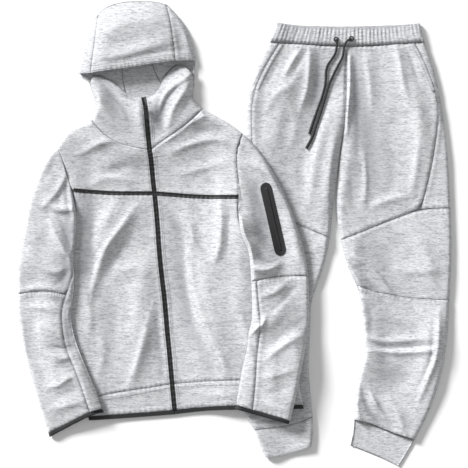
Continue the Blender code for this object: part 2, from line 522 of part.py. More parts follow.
class Surface:
    """The top faces of some pieces, for what lies on them."""

    def __init__(self):
        self.triangles = np.zeros((0, 3, 3))

    def add(self, grid):
        a, b = grid[:-1, :-1].reshape(-1, 3), grid[:-1, 1:].reshape(-1, 3)
        c, d = grid[1:, :-1].reshape(-1, 3), grid[1:, 1:].reshape(-1, 3)
        both = [np.stack(corners, axis=1) for corners in ((a, b, c), (b, d, c), (a, b, d), (a, d, c))]
        self.triangles = np.concatenate([self.triangles, *both])

    def at(self, points):
        """Height of the highest face above each point, or just beside it at a seam."""
        flat = points.reshape(-1, 2)
        best = np.full(len(flat), -np.inf)
        for aside in ((0, 0), (1, 0), (-1, 0), (0, 1), (0, -1)):
            best = np.maximum(best, self.directly_at(flat + 2 * SEAM_GAP * np.array(aside)))
        return best.reshape(points.shape[:-1])

    def directly_at(self, flat):
        a, b, c = (self.triangles[:, corner] for corner in range(3))
        area = (b[:, 0] - a[:, 0]) * (c[:, 1] - a[:, 1]) - (b[:, 1] - a[:, 1]) * (c[:, 0] - a[:, 0])
        solid = np.abs(area) > 1e-12
        a, b, c, area = a[solid], b[solid], c[solid], area[solid]
        best = np.full(len(flat), -np.inf)
        for number, (x, y) in enumerate(flat):
            share_b = ((x - a[:, 0]) * (c[:, 1] - a[:, 1]) - (y - a[:, 1]) * (c[:, 0] - a[:, 0])) / area
            share_c = ((b[:, 0] - a[:, 0]) * (y - a[:, 1]) - (b[:, 1] - a[:, 1]) * (x - a[:, 0])) / area
            inside = (share_b > -1e-6) & (share_c > -1e-6) & (share_b + share_c < 1 + 1e-6)
            if inside.any():
                height = (a[:, 2] + share_b * (b[:, 2] - a[:, 2]) + share_c * (c[:, 2] - a[:, 2]))[inside]
                best[number] = height.max()
        return best

    def lay(self, plan, lift):
        """Heights for a fine grid laid on the faces, raised where a face would come through it."""
        height = bridged(self.at(plan)) + lift
        rows, columns = plan.shape[0] - 1, plan.shape[1] - 1
        shares = [(v, u) for v in (0.0, 0.25, 0.5, 0.75, 1.0) for u in (0.0, 0.5, 1.0)]
        for _ in range(2):
            for v, u in shares:
                weights = ((0, 0, (1 - v) * (1 - u)), (0, 1, (1 - v) * u), (1, 0, v * (1 - u)), (1, 1, v * u))
                spot = sum(w * plan[r:r + rows, c:c + columns] for r, c, w in weights)
                level = sum(w * height[r:r + rows, c:c + columns] for r, c, w in weights)
                short = np.maximum(self.at(spot) + lift - level, 0)
                short = np.where(np.isfinite(short), short, 0)
                for r, c, w in weights:
                    if w > 0:
                        height[r:r + rows, c:c + columns] += short
        return height


# Layers: the height of a garment's underside and upper side

def floor(points):
    return np.zeros(points.shape[:-1])


class Layer:
    def __init__(self, folded_sides, folds, swell, base, rises=None):
        self.lines = [LINES[name][0] for name in folded_sides]
        self.folds = folds
        self.swell = swell
        self.base = base
        self.rises = rises

    def low(self, points):
        return self.base(points)

    def high(self, points, distance):
        height = (FLAT_HEIGHT + self.swell * np.exp(-(distance / SWELL_REACH) ** 2)
                  + folds_at(points, self.folds))
        if self.rises:
            height = height + self.rises(points)
        least = 2 * CLOTH + INNER_GAP + ROUNDING
        return self.low(points) + np.maximum(height, least)


# Where each side lies in a grid of points, and which hand of it the piece is on
SIDE_PLACES = {
    "top": ((0, slice(None)), -1),
    "bottom": ((-1, slice(None)), 1),
    "left": ((slice(None), 0), 1),
    "right": ((slice(None), -1), -1),
}


def normals_of(side_points, hand):
    """Unit ways square to a side and into its piece."""
    tangent = np.gradient(side_points, axis=0)
    tangent /= np.maximum(np.linalg.norm(tangent, axis=1), 1e-9)[:, None]
    return hand * np.stack([-tangent[:, 1], tangent[:, 0]], axis=1)


def seams_drawn_in(plan):
    """Plan points with each seam moved in, so that neighbours stay a seam's gap apart."""
    shrunk = plan.points.copy()
    for name, (edge, hand) in SIDE_PLACES.items():
        line = plan.points[edge]
        length = along(line)
        near_end = np.minimum(length, length[-1] - length) < FOLD_RADIUS + SEAM_GAP
        share = np.where(near_end, END_SHARE, SEAM_SHARE) * (plan.kinds[name] != "fold")
        shrunk[edge] += normals_of(line, hand) * (SEAM_GAP * share)[:, None]
    return shrunk


def way_in(plan, lines, distance, away):
    """The way from the nearest folded side, also for points on one."""
    steps = np.concatenate([np.diff(line, axis=0) for line in lines])
    starts = np.concatenate([line[:-1] for line in lines])
    lengths = np.linalg.norm(steps, axis=1)
    normals = np.stack([-steps[:, 1], steps[:, 0]], axis=1) / lengths[:, None]
    inward = away.copy()
    for name, (edge, hand) in SIDE_PLACES.items():
        on_side = (distance[edge] < 1e-5) & (plan.kinds[name] != "seam")
        facing = normals_of(plan.points[edge], hand)
        ways = inward[edge].copy()
        for number in np.flatnonzero(on_side):
            point = plan.points[edge][number]
            share = np.clip(((point - starts) * steps).sum(axis=1) / lengths ** 2, 0, 1)
            near = np.linalg.norm(point - starts - share[:, None] * steps, axis=1) < 1e-5
            way = (normals[near] * np.sign(normals[near] @ facing[number])[:, None]).sum(axis=0)
            ways[number] = way / max(np.linalg.norm(way), 1e-9)
        inward[edge] = ways
    return inward


def wall_points(plan, layer, upper, cloth=CLOTH, extra=None):
    """Outer and inner points of a cut piece, turned down or up to half height at folded sides."""
    distance, away = distance_to(plan.points, layer.lines)
    inward = way_in(plan, layer.lines, distance, away)
    cos = 1 - np.clip(distance / FOLD_RADIUS, 0, 1)
    sin = np.sqrt(np.maximum(1 - cos ** 2, 0))
    low = layer.low(plan.points)
    if upper:
        middle = low + EDGE_HEIGHT + SEAM_GAP / 2
        top = layer.high(plan.points, distance)
        if extra:
            top = top + extra(plan.points)
        level = middle + (top - middle) * sin
        inner_level = level - cloth * sin
    else:
        middle = low + EDGE_HEIGHT - SEAM_GAP / 2
        level = middle - (middle - low) * sin
        inner_level = level + cloth * sin
    shrunk = seams_drawn_in(plan)
    outer = np.concatenate([shrunk, level[..., None]], axis=2)
    inner_plan = shrunk + cloth * cos[..., None] * inward
    inner = np.concatenate([inner_plan, inner_level[..., None]], axis=2)
    return outer, inner


class Plan:
    """The plan points [row][column] of a piece, and the kinds of the points on its four sides."""

    def __init__(self, points, top, bottom, left, right):
        self.points = points
        self.kinds = {"top": top, "bottom": bottom, "left": left, "right": right}

    @classmethod
    def inside(cls, top, bottom, left, right):
        return cls(patch(top[0], bottom[0], left[0], right[0]), top[1], bottom[1], left[1], right[1])

    def beside(self, other):
        """This piece and the one on its right, as one."""
        mine, theirs = self.kinds, other.kinds
        return Plan(np.concatenate([self.points, other.points[:, 1:]], axis=1),
                    np.concatenate([mine["top"], theirs["top"][1:]]),
                    np.concatenate([mine["bottom"], theirs["bottom"][1:]]), mine["left"], theirs["right"])

    def above(self, other):
        """This piece and the one below it, as one."""
        mine, theirs = self.kinds, other.kinds
        return Plan(np.concatenate([self.points, other.points[1:]]), mine["top"], theirs["bottom"],
                    np.concatenate([mine["left"], theirs["left"][1:]]),
                    np.concatenate([mine["right"], theirs["right"][1:]]))


# Meshes

def material(name):
    found = bpy.data.materials.get(name)
    if found:
        return found
    colour, roughness = COLOURS[name]
    made = bpy.data.materials.new(name)
    made.use_nodes = True
    shader = made.node_tree.nodes["Principled BSDF"]
    shader.inputs["Base Color"].default_value = (*colour, 1)
    shader.inputs["Roughness"].default_value = roughness
    return made


def add_mesh(name, vertices, faces, colour):
    mesh = bpy.data.meshes.new(name)
    mesh.from_pydata([tuple(vertex) for vertex in vertices], [], faces)
    shape = bmesh.new()
    shape.from_mesh(mesh)
    if shape.calc_volume(signed=True) < 0:
        bmesh.ops.reverse_faces(shape, faces=shape.faces)
    shape.to_mesh(mesh)
    shape.free()
    mesh.shade_smooth()
    mesh.set_sharp_from_angle(angle=math.radians(50))
    mesh.materials.append(material(colour))
    made = bpy.data.objects.new(name, mesh)
    bpy.data.collections["tracksuit"].objects.link(made)
    return made


def wall(name, outer, inner, colour="cloth"):
    """One closed piece between an outer and an inner grid of points."""
    rows, columns = outer.shape[:2]
    vertices = np.concatenate([outer.reshape(-1, 3), inner.reshape(-1, 3)])
    back = rows * columns

    def number(row, column):
        return row * columns + column

    faces = []
    for row in range(rows - 1):
        for column in range(columns - 1):
            a, b = number(row, column), number(row, column + 1)
            c, d = number(row + 1, column + 1), number(row + 1, column)
            faces.append((a, b, c, d))
            faces.append((a + back, d + back, c + back, b + back))
    rim = ([number(0, column) for column in range(columns)]
           + [number(row, columns - 1) for row in range(1, rows)]
           + [number(rows - 1, column) for column in range(columns - 2, -1, -1)]
           + [number(row, 0) for row in range(rows - 2, 0, -1)])
    for a, b in zip(rim, rim[1:] + rim[:1]):
        faces.extend(rim_faces(vertices, b, a, a + back, b + back))
    return add_mesh(name, vertices, faces, colour)


def rim_faces(vertices, a, b, b_inner, a_inner):
    """Two triangles across a seam's edge, split the same way in both pieces that meet there."""
    step = vertices[b] - vertices[a]
    if step @ np.array(EDGE_SENSE) > 0:
        return [(a, b, b_inner), (a, b_inner, a_inner)]
    return [(a, b, a_inner), (b, b_inner, a_inner)]


def tube_end(name, front, back, colour="cloth"):
    """A closed ring of cloth round the end of a flat tube, from its front and back points."""
    loops = []
    for layer in (0, 1):
        ahead, behind = front[layer].copy(), back[layer]
        ahead[:, 0] = 0.5 * (ahead[:, 0] + behind[:, 0])
        ahead[:, -1] = 0.5 * (ahead[:, -1] + behind[:, -1])
        loops.append(np.concatenate([ahead, behind[:, -2:0:-1]], axis=1))
    rows, columns = loops[0].shape[:2]
    vertices = np.concatenate([loop.reshape(-1, 3) for loop in loops])
    inside = rows * columns
    faces = []
    for column in range(columns):
        after = (column + 1) % columns
        for row in range(rows - 1):
            a, b = row * columns + column, row * columns + after
            c, d = b + columns, a + columns
            faces.append((a, b, c, d))
            faces.append((a + inside, d + inside, c + inside, b + inside))
        last = (rows - 1) * columns
        faces.extend(rim_faces(vertices, after, column, column + inside, after + inside))
        faces.extend(rim_faces(vertices, last + column, last + after, last + after + inside,
                               last + column + inside))
    return add_mesh(name, vertices, faces, colour)


def cut_piece(name, plan, layer, upper=True, cloth=CLOTH, extra=None, colour="cloth"):
    """A cut piece of cloth over its plan. Returns its outer points."""
    outer, inner = wall_points(plan, layer, upper, cloth, extra)
    wall(name, outer, inner, colour)
    return outer


def cut_ring(name, plan, layer, colour="cloth"):
    """A cuff: one ring of cloth round the end of a sleeve or leg. Returns its upper points."""
    front = wall_points(plan, layer, True)
    tube_end(name, front, wall_points(plan, layer, False), colour)
    return front[0]


def offset_line(line, distance):
    """A line moved to its left by some distance."""
    tangent = np.gradient(line, axis=0)
    tangent /= np.linalg.norm(tangent, axis=1)[:, None]
    return line + distance * np.stack([-tangent[:, 1], tangent[:, 0]], axis=1)


def laid_strip(name, rows, surface, thickness, lift=SEAM_GAP, colour="trim"):
    """A thin strip laid on what is below it, from the plan lines of its rows."""
    plan = np.stack(rows, axis=1)
    level = surface.lay(plan, lift)
    inner = np.concatenate([plan, level[..., None]], axis=2)
    outer = inner + np.array([0, 0, thickness])
    wall(name, outer, inner, colour)
    surface.add(outer)


def halve(line):
    """The points of a line and the middle of each of its spans."""
    middle = 0.5 * (line[1:] + line[:-1])
    both = np.empty((len(line) + len(middle), line.shape[1]))
    both[0::2], both[1::2] = line, middle
    return both


# Joggers

def build_joggers(surface, field):
    folded = ["waist_side_r", "waist_side_l", "leg_out_thigh_r", "leg_out_thigh_l", "leg_in_thigh_r",
              "leg_in_thigh_l", "leg_out_knee_r", "leg_out_knee_l", "leg_in_knee_r", "leg_in_knee_l",
              "leg_out_shin_r", "leg_out_shin_l", "leg_in_shin_r", "leg_in_shin_l", "foot_side_in_r",
              "foot_side_in_l", "foot_side_out_r", "foot_side_out_l"]
    layer = Layer(folded, JOGGER_FOLDS, JOGGERS_SWELL, floor)
    tops = [build_waistband(layer)]
    for suffix, piece in (("r", "right"), ("l", "left")):
        outer_first = suffix == "r"

        def pair(outer, inner):
            return (outer, inner) if outer_first else (inner, outer)

        def across(outer, inner):
            return side(*pair(outer + "_" + suffix, inner + "_" + suffix))

        def lengthwise(outer, inner):
            return pair(side(outer + "_" + suffix), side(inner + "_" + suffix))

        centre = side("centre_seam", "leg_in_thigh_" + suffix)
        divide = side("side_seam_" + suffix)
        ankle = side("ankle_seam_" + suffix)
        thigh = Plan.inside(side("waist_seam_" + suffix), side("thigh_seam_" + suffix), *pair(divide, centre))
        panel = Plan.inside(side("waist_seam_side_" + suffix), side("thigh_seam_side_" + suffix),
                            *pair(side("leg_out_thigh_" + suffix), divide))
        knee = Plan.inside(across("thigh_seam_side", "thigh_seam"), side("knee_seam_" + suffix),
                           *lengthwise("leg_out_knee", "leg_in_knee"))
        shin = Plan.inside(side("knee_seam_" + suffix), ankle, *lengthwise("leg_out_shin", "leg_in_shin"))
        cuff = Plan.inside(ankle, side("foot_end_" + suffix), *lengthwise("foot_side_out", "foot_side_in"))
        tops.append(cut_piece("thigh_front_" + piece, thigh, layer))
        tops.append(cut_piece("side_panel_" + piece, panel, layer))
        tops.append(cut_piece("knee_panel_" + piece, knee, layer))
        tops.append(cut_piece("shin_panel_" + piece, shin, layer))
        tops.append(cut_ring("leg_cuff_" + piece, cuff, layer))
        long_out = side("leg_out_thigh_" + suffix, "leg_out_knee_" + suffix, "leg_out_shin_" + suffix)
        long_in = side("centre_seam", "leg_in_thigh_" + suffix, "leg_in_knee_" + suffix,
                       "leg_in_shin_" + suffix)
        waist = side("waist_seam_back_" + suffix)
        behind = Plan.inside(waist, ankle, *pair(long_out, long_in))
        cut_piece("leg_back_" + piece, behind, layer, upper=False)
    for top in tops:
        surface.add(top)
        field.add(top)
    for suffix, piece in (("r", "right"), ("l", "left")):
        opening = halve(LINES["side_seam_" + suffix][0][:4])
        shift = WELT_WIDTH if suffix == "l" else -WELT_WIDTH
        laid_strip("pocket_welt_" + piece, [offset_line(opening, 0.0), offset_line(opening, -shift / 2),
                                            offset_line(opening, -shift)], surface, TAPE, colour="cloth")
    build_drawcord(surface)


def build_waistband(layer):
    """Front and back of the gathered waistband. Returns the front's outer points."""
    def gathers(plan):
        rows, columns = plan.shape[:2]
        deep = np.where(np.arange(columns) % 2, 1.0, -1.0) * (0.75 + 0.25 * np.sin(np.arange(columns) * 1.7))
        fade = np.array(GATHER_FADE)[:rows, None]
        calm = np.ones(plan.shape[:2])
        for route in CORD_ROUTES.values():
            gap, _ = distance_to(plan, [place([route[0], route[1]])])
            calm = calm * ease(gap, *GATHER_CALM)
        return GATHER_DEPTH * (1 + deep[None] * fade * calm)

    sides = side("waist_side_r"), side("waist_side_l")
    front = Plan.inside(side("waist_top_front"), side("waist_seam_front"), *sides)
    back = Plan.inside(side("waist_top_back"), side("waist_seam_back"), *sides)
    cut_piece("waistband_back", back, layer, upper=False)
    return cut_piece("waistband_front", front, layer, cloth=BAND_CLOTH, extra=gathers)


def tube(name, points, radius, colour):
    curve = bpy.data.curves.new(name, "CURVE")
    curve.dimensions = "3D"
    curve.bevel_depth = radius
    curve.bevel_resolution = 2
    curve.use_fill_caps = True
    spline = curve.splines.new("POLY")
    spline.points.add(len(points) - 1)
    for spot, point in zip(spline.points, points):
        spot.co = (*point, 1)
    curve.materials.append(material(colour))
    made = bpy.data.objects.new(name, curve)
    bpy.data.collections["tracksuit"].objects.link(made)
    return made


def cord_line(route, surface):
    """The centre line of a cord that lies on the cloth, every two to three diameters."""
    dense = smooth(place(route))
    count = int(along(dense)[-1] / (2.2 * CORD_DIAMETER))
    plan = read(dense, np.linspace(0, along(dense)[-1], count + 1))
    half = CORD_TIP_DIAMETER / 2
    strip = np.stack([offset_line(plan, half), plan, offset_line(plan, -half)], axis=1)
    level = surface.lay(strip, LAY_GAP).max(axis=1) + CORD_TIP_DIAMETER / 2
    level[1:-1] = np.maximum(level[1:-1], 0.5 * (level[:-2] + level[2:]))
    return np.concatenate([plan, level[:, None]], axis=1)


def build_drawcord(surface):
    for piece, route in CORD_ROUTES.items():
        eye = place([route[0]])[0]
        ring = [eye + EYELET_RADIUS * np.array([math.cos(a), math.sin(a)])
                for a in np.linspace(0, 2 * math.pi, 13)]
        level = surface.at(np.array(ring + [eye])).max() + LAY_GAP + EYELET_WIRE
        bpy.ops.mesh.primitive_torus_add(major_radius=EYELET_RADIUS, minor_radius=EYELET_WIRE,
                                         major_segments=16, minor_segments=6, location=(*eye, level))
        eyelet = bpy.context.object
        eyelet.name = "eyelet_" + piece
        eyelet.data.materials.append(material("hardware"))
        eyelet.data.shade_smooth()
        move_to_collection(eyelet)
        surface.add(np.array([[(*(eye + EYELET_REACH * np.array([x, y])), level + EYELET_WIRE)
                               for x in (-1, 1)] for y in (-1, 1)]))
        line = cord_line(route, surface)
        length = along(line)
        tip_start = length[-1] - CORD_TIP_LENGTH
        body = np.append(length[length < tip_start - SHORTEST_SPAN], tip_start - SEAM_GAP)
        tube("drawcord_" + piece, read(line, body), CORD_DIAMETER / 2, "cord")
        tip = np.linspace(tip_start, length[-1], 5)
        tube("drawcord_tip_" + piece, read(line, tip), CORD_TIP_DIAMETER / 2, "trim")


def move_to_collection(made):
    for home in list(made.users_collection):
        home.objects.unlink(made)
    bpy.data.collections["tracksuit"].objects.link(made)


# Jacket

def neck_rise(points):
    """The fronts rise towards the neck seam, and the collar goes on from there."""
    seams = [LINES[name][0] for name in ("neck_seam_r", "neck_seam_l")]
    distance, _ = distance_to(points, seams)
    return NECK_RISE * np.exp(-(distance / NECK_RISE_REACH) ** 2)


def build_body(surface, field, under):
    folded = ["shoulder_line_r", "shoulder_line_l", "sleeve_out_upper_r", "sleeve_out_upper_l",
              "under_r", "side_r", "band_side_r", "bind_side_r", "under_l", "side_l", "band_side_l",
              "bind_side_l", "collar_side_r", "collar_side_l"]
    layer = Layer(folded, JACKET_FOLDS, BODY_SWELL, under.at, neck_rise)
    tops, halves = [], {}
    for suffix, piece in (("r", "right"), ("l", "left")):
        outer_first = suffix == "r"

        def pair(outer, inner):
            return (outer, inner) if outer_first else (inner, outer)

        shoulder = side(*pair("shoulder_line_" + suffix, "neck_seam_" + suffix))
        edge = side("under_" + suffix, "side_" + suffix)
        yoke, band = side("yoke_" + suffix), side("band_seam_" + suffix)
        bind, hem = side("bind_seam_" + suffix), side("hem_line_" + suffix)
        upper = Plan.inside(shoulder, yoke, *pair(side("armhole_" + suffix), side("zip_upper")))
        lower = Plan.inside(yoke, band, *pair(edge, side("zip_lower")))
        hem_band = Plan.inside(band, bind, *pair(side("band_side_" + suffix), side("zip_band_line")))
        binding = Plan.inside(bind, hem, *pair(side("bind_side_" + suffix), side("zip_bind_line")))
        tops.append(cut_piece("front_upper_" + piece, upper, layer))
        tops.append(cut_piece("front_lower_" + piece, lower, layer))
        tops.append(cut_piece("hem_band_" + piece, hem_band, layer))
        tops.append(cut_piece("hem_binding_" + piece, binding, layer, colour="trim"))
        halves[suffix] = lower, hem_band, binding
    back, band_back, binding_back = [right.beside(left) for right, left in zip(halves["r"], halves["l"])]
    yoke_back = Plan.inside(side("shoulder_line_r", "neck_back", "shoulder_line_l"), side("yoke_r", "yoke_l"),
                            side("armhole_r"), side("armhole_l"))
    cut_piece("jacket_back", yoke_back.above(back), layer, upper=False)
    cut_piece("hem_band_back", band_back, layer, upper=False)
    cut_piece("hem_binding_back", binding_back, layer, upper=False, colour="trim")
    for top in tops:
        surface.add(top)
        field.add(top)


def build_sleeve(suffix, piece, surface, under_legs, under_body):
    outer_first = suffix == "r"
    start = place([CORNERS["split_" + suffix]])[0, 1]

    def pair(outer, inner):
        return (outer, inner) if outer_first else (inner, outer)

    def base(points):
        climb = ease(start - points[..., 1], *CLIMB)
        return np.maximum(under_legs.at(points), climb * under_body.at(points))

    folded = [name + suffix for name in ("shoulder_line_", "sleeve_out_upper_", "sleeve_out_lower_", "under_",
                                         "sleeve_in_upper_", "sleeve_in_lower_", "cuff_side_out_",
                                         "cuff_side_in_")]
    layer = Layer(folded, SLEEVE_FOLDS, SLEEVE_SWELL, base)
    armhole = side("armhole_r" if outer_first else "-armhole_l")
    elbow = side(*pair("elbow_seam_" + suffix, "under_seam_upper_" + suffix))
    cuff_seam = side(*pair("cuff_seam_upper_" + suffix, "cuff_seam_under_" + suffix))
    upper = Plan.inside(armhole, elbow, *pair(side("sleeve_out_upper_" + suffix),
                                              side("under_" + suffix, "sleeve_in_upper_" + suffix)))
    seam = side("under_seam_lower_" + suffix)
    lower = Plan.inside(side("elbow_seam_" + suffix), side("cuff_seam_upper_" + suffix),
                        *pair(side("sleeve_out_lower_" + suffix), seam))
    under = Plan.inside(side("under_seam_upper_" + suffix), side("cuff_seam_under_" + suffix),
                        *pair(seam, side("sleeve_in_lower_" + suffix)))
    cuff = Plan.inside(cuff_seam, side("cuff_end_line_" + suffix),
                       *pair(side("cuff_side_out_" + suffix), side("cuff_side_in_" + suffix)))
    tops = [
        cut_piece("sleeve_upper_" + piece, upper, layer),
        cut_piece("sleeve_lower_" + piece, lower, layer),
        cut_piece("sleeve_under_" + piece, under, layer),
        cut_ring("cuff_binding_" + piece, cuff, layer, "trim"),
    ]
    west, east = pair(lower, under)
    cut_piece("sleeve_back_" + piece, upper.above(west.beside(east)), layer, upper=False)
    for top in tops:
        surface.add(top)


def build_sleeve_pocket(surface):
    """A bonded pocket bar with round ends on the left sleeve, and its covered zip."""
    top, bottom = place(POCKET_ENDS)
    length = np.linalg.norm(bottom - top)
    ahead = (bottom - top) / length
    across = np.array([-ahead[1], ahead[0]])
    radius = POCKET_WIDTH / 2
    run = (POCKET_LENGTH - length) / 2
    ends = radius * (1 - np.cos(np.linspace(0.25, math.pi / 2, 4)))
    stations = np.concatenate([-run + ends, np.linspace(-run + radius, length + run - radius, 12)[1:-1],
                               (length + run - ends)[::-1]])
    rows = []
    for share in (-1.0, -0.5, 0.0, 0.5, 1.0):
        reach = np.minimum(stations + run, length + run - stations)
        half = np.where(reach < radius, np.sqrt(np.maximum(radius ** 2 - (radius - reach) ** 2, 0)), radius)
        rows.append(top + stations[:, None] * ahead + (share * half)[:, None] * across)
    laid_strip("sleeve_pocket", rows, surface, TAPE, lift=LAY_GAP)
    inner = np.linspace(-run + radius, length + run - radius, 12)
    rows = [top + inner[:, None] * ahead + share * POCKET_ZIP_WIDTH * across for share in (-0.5, 0.0, 0.5)]
    laid_strip("sleeve_pocket_zip", rows, surface, ZIP_CHAIN_HEIGHT)


def build_hood(surface):
    crown_sides = ("crown_side_r", "crown_tip_r", "crown_top", "crown_tip_l", "crown_side_l")
    crown_lines = [LINES[name][0] for name in crown_sides]

    def dome(points):
        distance, _ = distance_to(points, crown_lines)
        return CROWN_RISE * (1 - np.exp(-(distance / CROWN_RISE_REACH) ** CROWN_RISE_POWER))

    top_layer = Layer(crown_sides, HOOD_FOLDS, HOOD_SWELL, floor, dome)
    seam_r, seam_l = side("hood_seam_r"), side("hood_seam_l")
    crown = Plan.inside(side("crown_top"), side("brim_edge"), seam_r, seam_l)
    side_r = Plan.inside(side("crown_tip_r"), side("brim_edge_r"), side("crown_side_r"), seam_r)
    side_l = Plan.inside(side("crown_tip_l"), side("brim_edge_l"), seam_l, side("crown_side_l"))
    back = Plan.inside(side("crown_top"), side("neck_back"),
                       side("-crown_tip_r", "crown_side_r", "hood_ear_r", "collar_side_r"),
                       side("crown_tip_l", "crown_side_l", "hood_ear_l", "collar_side_l"))
    tops = [
        cut_piece("hood_crown", crown, top_layer),
        cut_piece("hood_side_right", side_r, top_layer),
        cut_piece("hood_side_left", side_l, top_layer),
    ]
    back_layer = Layer((*crown_sides, "collar_side_r", "collar_side_l", "shoulder_line_r", "shoulder_line_l"),
                       (), 0.0, floor)
    cut_piece("hood_back", back, back_layer, upper=False)
    build_collar(surface)
    for top in tops:
        surface.add(top)


def build_collar(surface):
    neck_lines = [LINES[name][0] for name in ("neck_seam_r", "neck_seam_l")]

    def stand(points):
        distance, _ = distance_to(points, neck_lines)
        return neck_rise(points) + COLLAR_RISE * ease(distance, 0.0, COLLAR_RISE_REACH)

    for suffix, piece in (("r", "right"), ("l", "left")):
        outer_first = suffix == "r"
        folded = ["collar_side_" + suffix, "shoulder_line_" + suffix, "collar_roll_" + suffix]
        layer = Layer(folded, COLLAR_FOLDS + JACKET_FOLDS, COLLAR_SWELL, floor, stand)
        outer = side("collar_peak_" + suffix)
        sides = (outer, side("zip_collar")) if outer_first else (side("zip_collar"), outer)
        plan = Plan.inside(side("collar_roll_" + suffix), side("neck_seam_" + suffix), *sides)
        surface.add(cut_piece("collar_" + piece, plan, layer))


def build_zip(surface):
    """Two tapes, the chain between them, the slider and its pull tab."""
    line = side("zip_collar", "zip_upper", "zip_lower", "zip_band_line")[0]
    fine = halve(line)
    for piece, way in (("right", -1), ("left", 1)):
        rows = [offset_line(fine, way * (SEAM_GAP / 2 + share * ZIP_TAPE_WIDTH)) for share in (0.0, 1.0)]
        laid_strip("zip_tape_" + piece, rows, surface, TAPE)
    length = along(fine)
    start = SLIDER_AT * along(LINES["zip_collar"][0])[-1]
    inside = length[(length > start + SHORTEST_SPAN) & (length < length[-1] - ZIP_END)]
    chain = read(fine, np.concatenate([[start], inside, [length[-1] - ZIP_END]]))
    half = ZIP_CHAIN_WIDTH / 2
    laid_strip("zip_chain", [offset_line(chain, -half), offset_line(chain, half)], surface, ZIP_CHAIN_HEIGHT,
               lift=LAY_GAP)
    build_slider(chain, surface)


def build_slider(chain, surface):
    ahead = (chain[1] - chain[0]) / np.linalg.norm(chain[1] - chain[0])
    turn = math.atan2(ahead[1], ahead[0]) + math.pi / 2
    across = np.array([-ahead[1], ahead[0]])
    wide, long, high = SLIDER_SIZE
    centre = chain[0] + ahead * long / 2
    corners = np.array([[centre + a * across * wide / 2 + b * ahead * long / 2 for a in (-1, -0.5, 0, 0.5, 1)]
                        for b in (-1, -0.5, 0, 0.5, 1)])
    floor = np.nanmax(np.where(np.isfinite(surface.at(corners)), surface.at(corners), 0)) + 2 * SEAM_GAP
    body = add_box("zip_slider", SLIDER_SIZE, (*centre, floor + high / 2), turn)
    bevel = body.modifiers.new("edges", "BEVEL")
    bevel.width = SLIDER_EDGE
    bevel.segments = 2
    bridge = add_cutter("slider_bridge", BRIDGE_SIZE,
                        (*centre, floor + high + BRIDGE_SIZE[2] / 2 - BRIDGE_SINK), turn)
    slot = add_cutter("slider_slot", (2 * wide, *BRIDGE_SLOT),
                      (*centre, floor + high + BRIDGE_SLOT[1] / 2 - SLOT_SINK), turn)
    join = body.modifiers.new("bridge", "BOOLEAN")
    join.operation = "UNION"
    join.object = bridge
    cut = body.modifiers.new("slot", "BOOLEAN")
    cut.operation = "DIFFERENCE"
    cut.object = slot
    pivot = np.array([*centre, floor + high + BRIDGE_SLOT[1] / 2 - SLOT_SINK])
    pull = add_box("zip_pull", PULL_SIZE, pivot, turn, shift=PULL_BAR / 2 - PULL_SIZE[1] / 2)
    edge = pull.modifiers.new("edges", "BEVEL")
    edge.width = PULL_EDGE
    edge.segments = 1
    gap = PULL_BAR / 2 + PULL_HOLE[1] / 2
    hole = add_cutter("pull_hole", (*PULL_HOLE, PULL_SIZE[1]), (*(pivot[:2] + ahead * gap), pivot[2]), turn)
    through = pull.modifiers.new("hole", "BOOLEAN")
    through.operation = "DIFFERENCE"
    through.object = hole


def add_box(name, size, location, turn, shift=0.0):
    """A box, moved along its own Y from its origin by the shift."""
    bpy.ops.mesh.primitive_cube_add(size=1, location=location, rotation=(0, 0, turn))
    made = bpy.context.object
    made.name = name
    made.scale = size
    bpy.ops.object.transform_apply(location=False, rotation=False, scale=True)
    made.data.transform(Matrix.Translation((0, shift, 0)))
    made.data.materials.append(material("hardware"))
    move_to_collection(made)
    return made


def add_cutter(name, size, location, turn):
    made = add_box(name, size, location, turn)
    made.hide_render = True
    made.display_type = "WIRE"
    for home in list(made.users_collection):
        home.objects.unlink(made)
    bpy.data.collections["cutters"].objects.link(made)
    return made


def build_chest_tapes(surface):
    for suffix, piece in (("r", "right"), ("l", "left")):
        line = halve(LINES["yoke_" + suffix][0])
        length = along(line)
        clear = ZIP_TAPE_WIDTH + 2 * SEAM_GAP
        first, last = (CHEST_TAPE_FLAT, clear) if suffix == "r" else (clear, CHEST_TAPE_FLAT)
        stations = np.clip(length[length > CHEST_TAPE_START], first, length[-1] - last)
        keep = read(line, np.unique(stations))
        half = CHEST_TAPE_WIDTH / 2
        laid_strip("chest_tape_" + piece, [offset_line(keep, -half), keep, offset_line(keep, half)],
                   surface, TAPE)


def main():
    for old in list(bpy.data.objects):
        bpy.data.objects.remove(old)
    for name in ("tracksuit", "cutters"):
        bpy.context.scene.collection.children.link(bpy.data.collections.new(name))
    legs, body = Field(), Field()
    surface = Surface()
    build_joggers(surface, legs)
    legs.drape()
    jacket = Surface()
    build_body(jacket, body, legs)
    body.drape()
    build_hood(jacket)
    build_zip(jacket)
    build_chest_tapes(jacket)
    sleeves = Surface()
    build_sleeve("r", "right", sleeves, legs, body)
    build_sleeve("l", "left", sleeves, legs, body)
    build_sleeve_pocket(sleeves)


main()
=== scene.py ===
"""A tracksuit laid flat on a pale floor: a hooded zip jacket of marled fleece over matching joggers.

Metres, +Z up. Places on the set are given in plan units, which run right and down from the top left
corner of its square plan. Left and right in the names are as worn.
"""

import math

import bmesh
import bpy
import numpy as np
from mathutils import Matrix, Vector
from mathutils.bvhtree import BVHTree
from mathutils.kdtree import KDTree


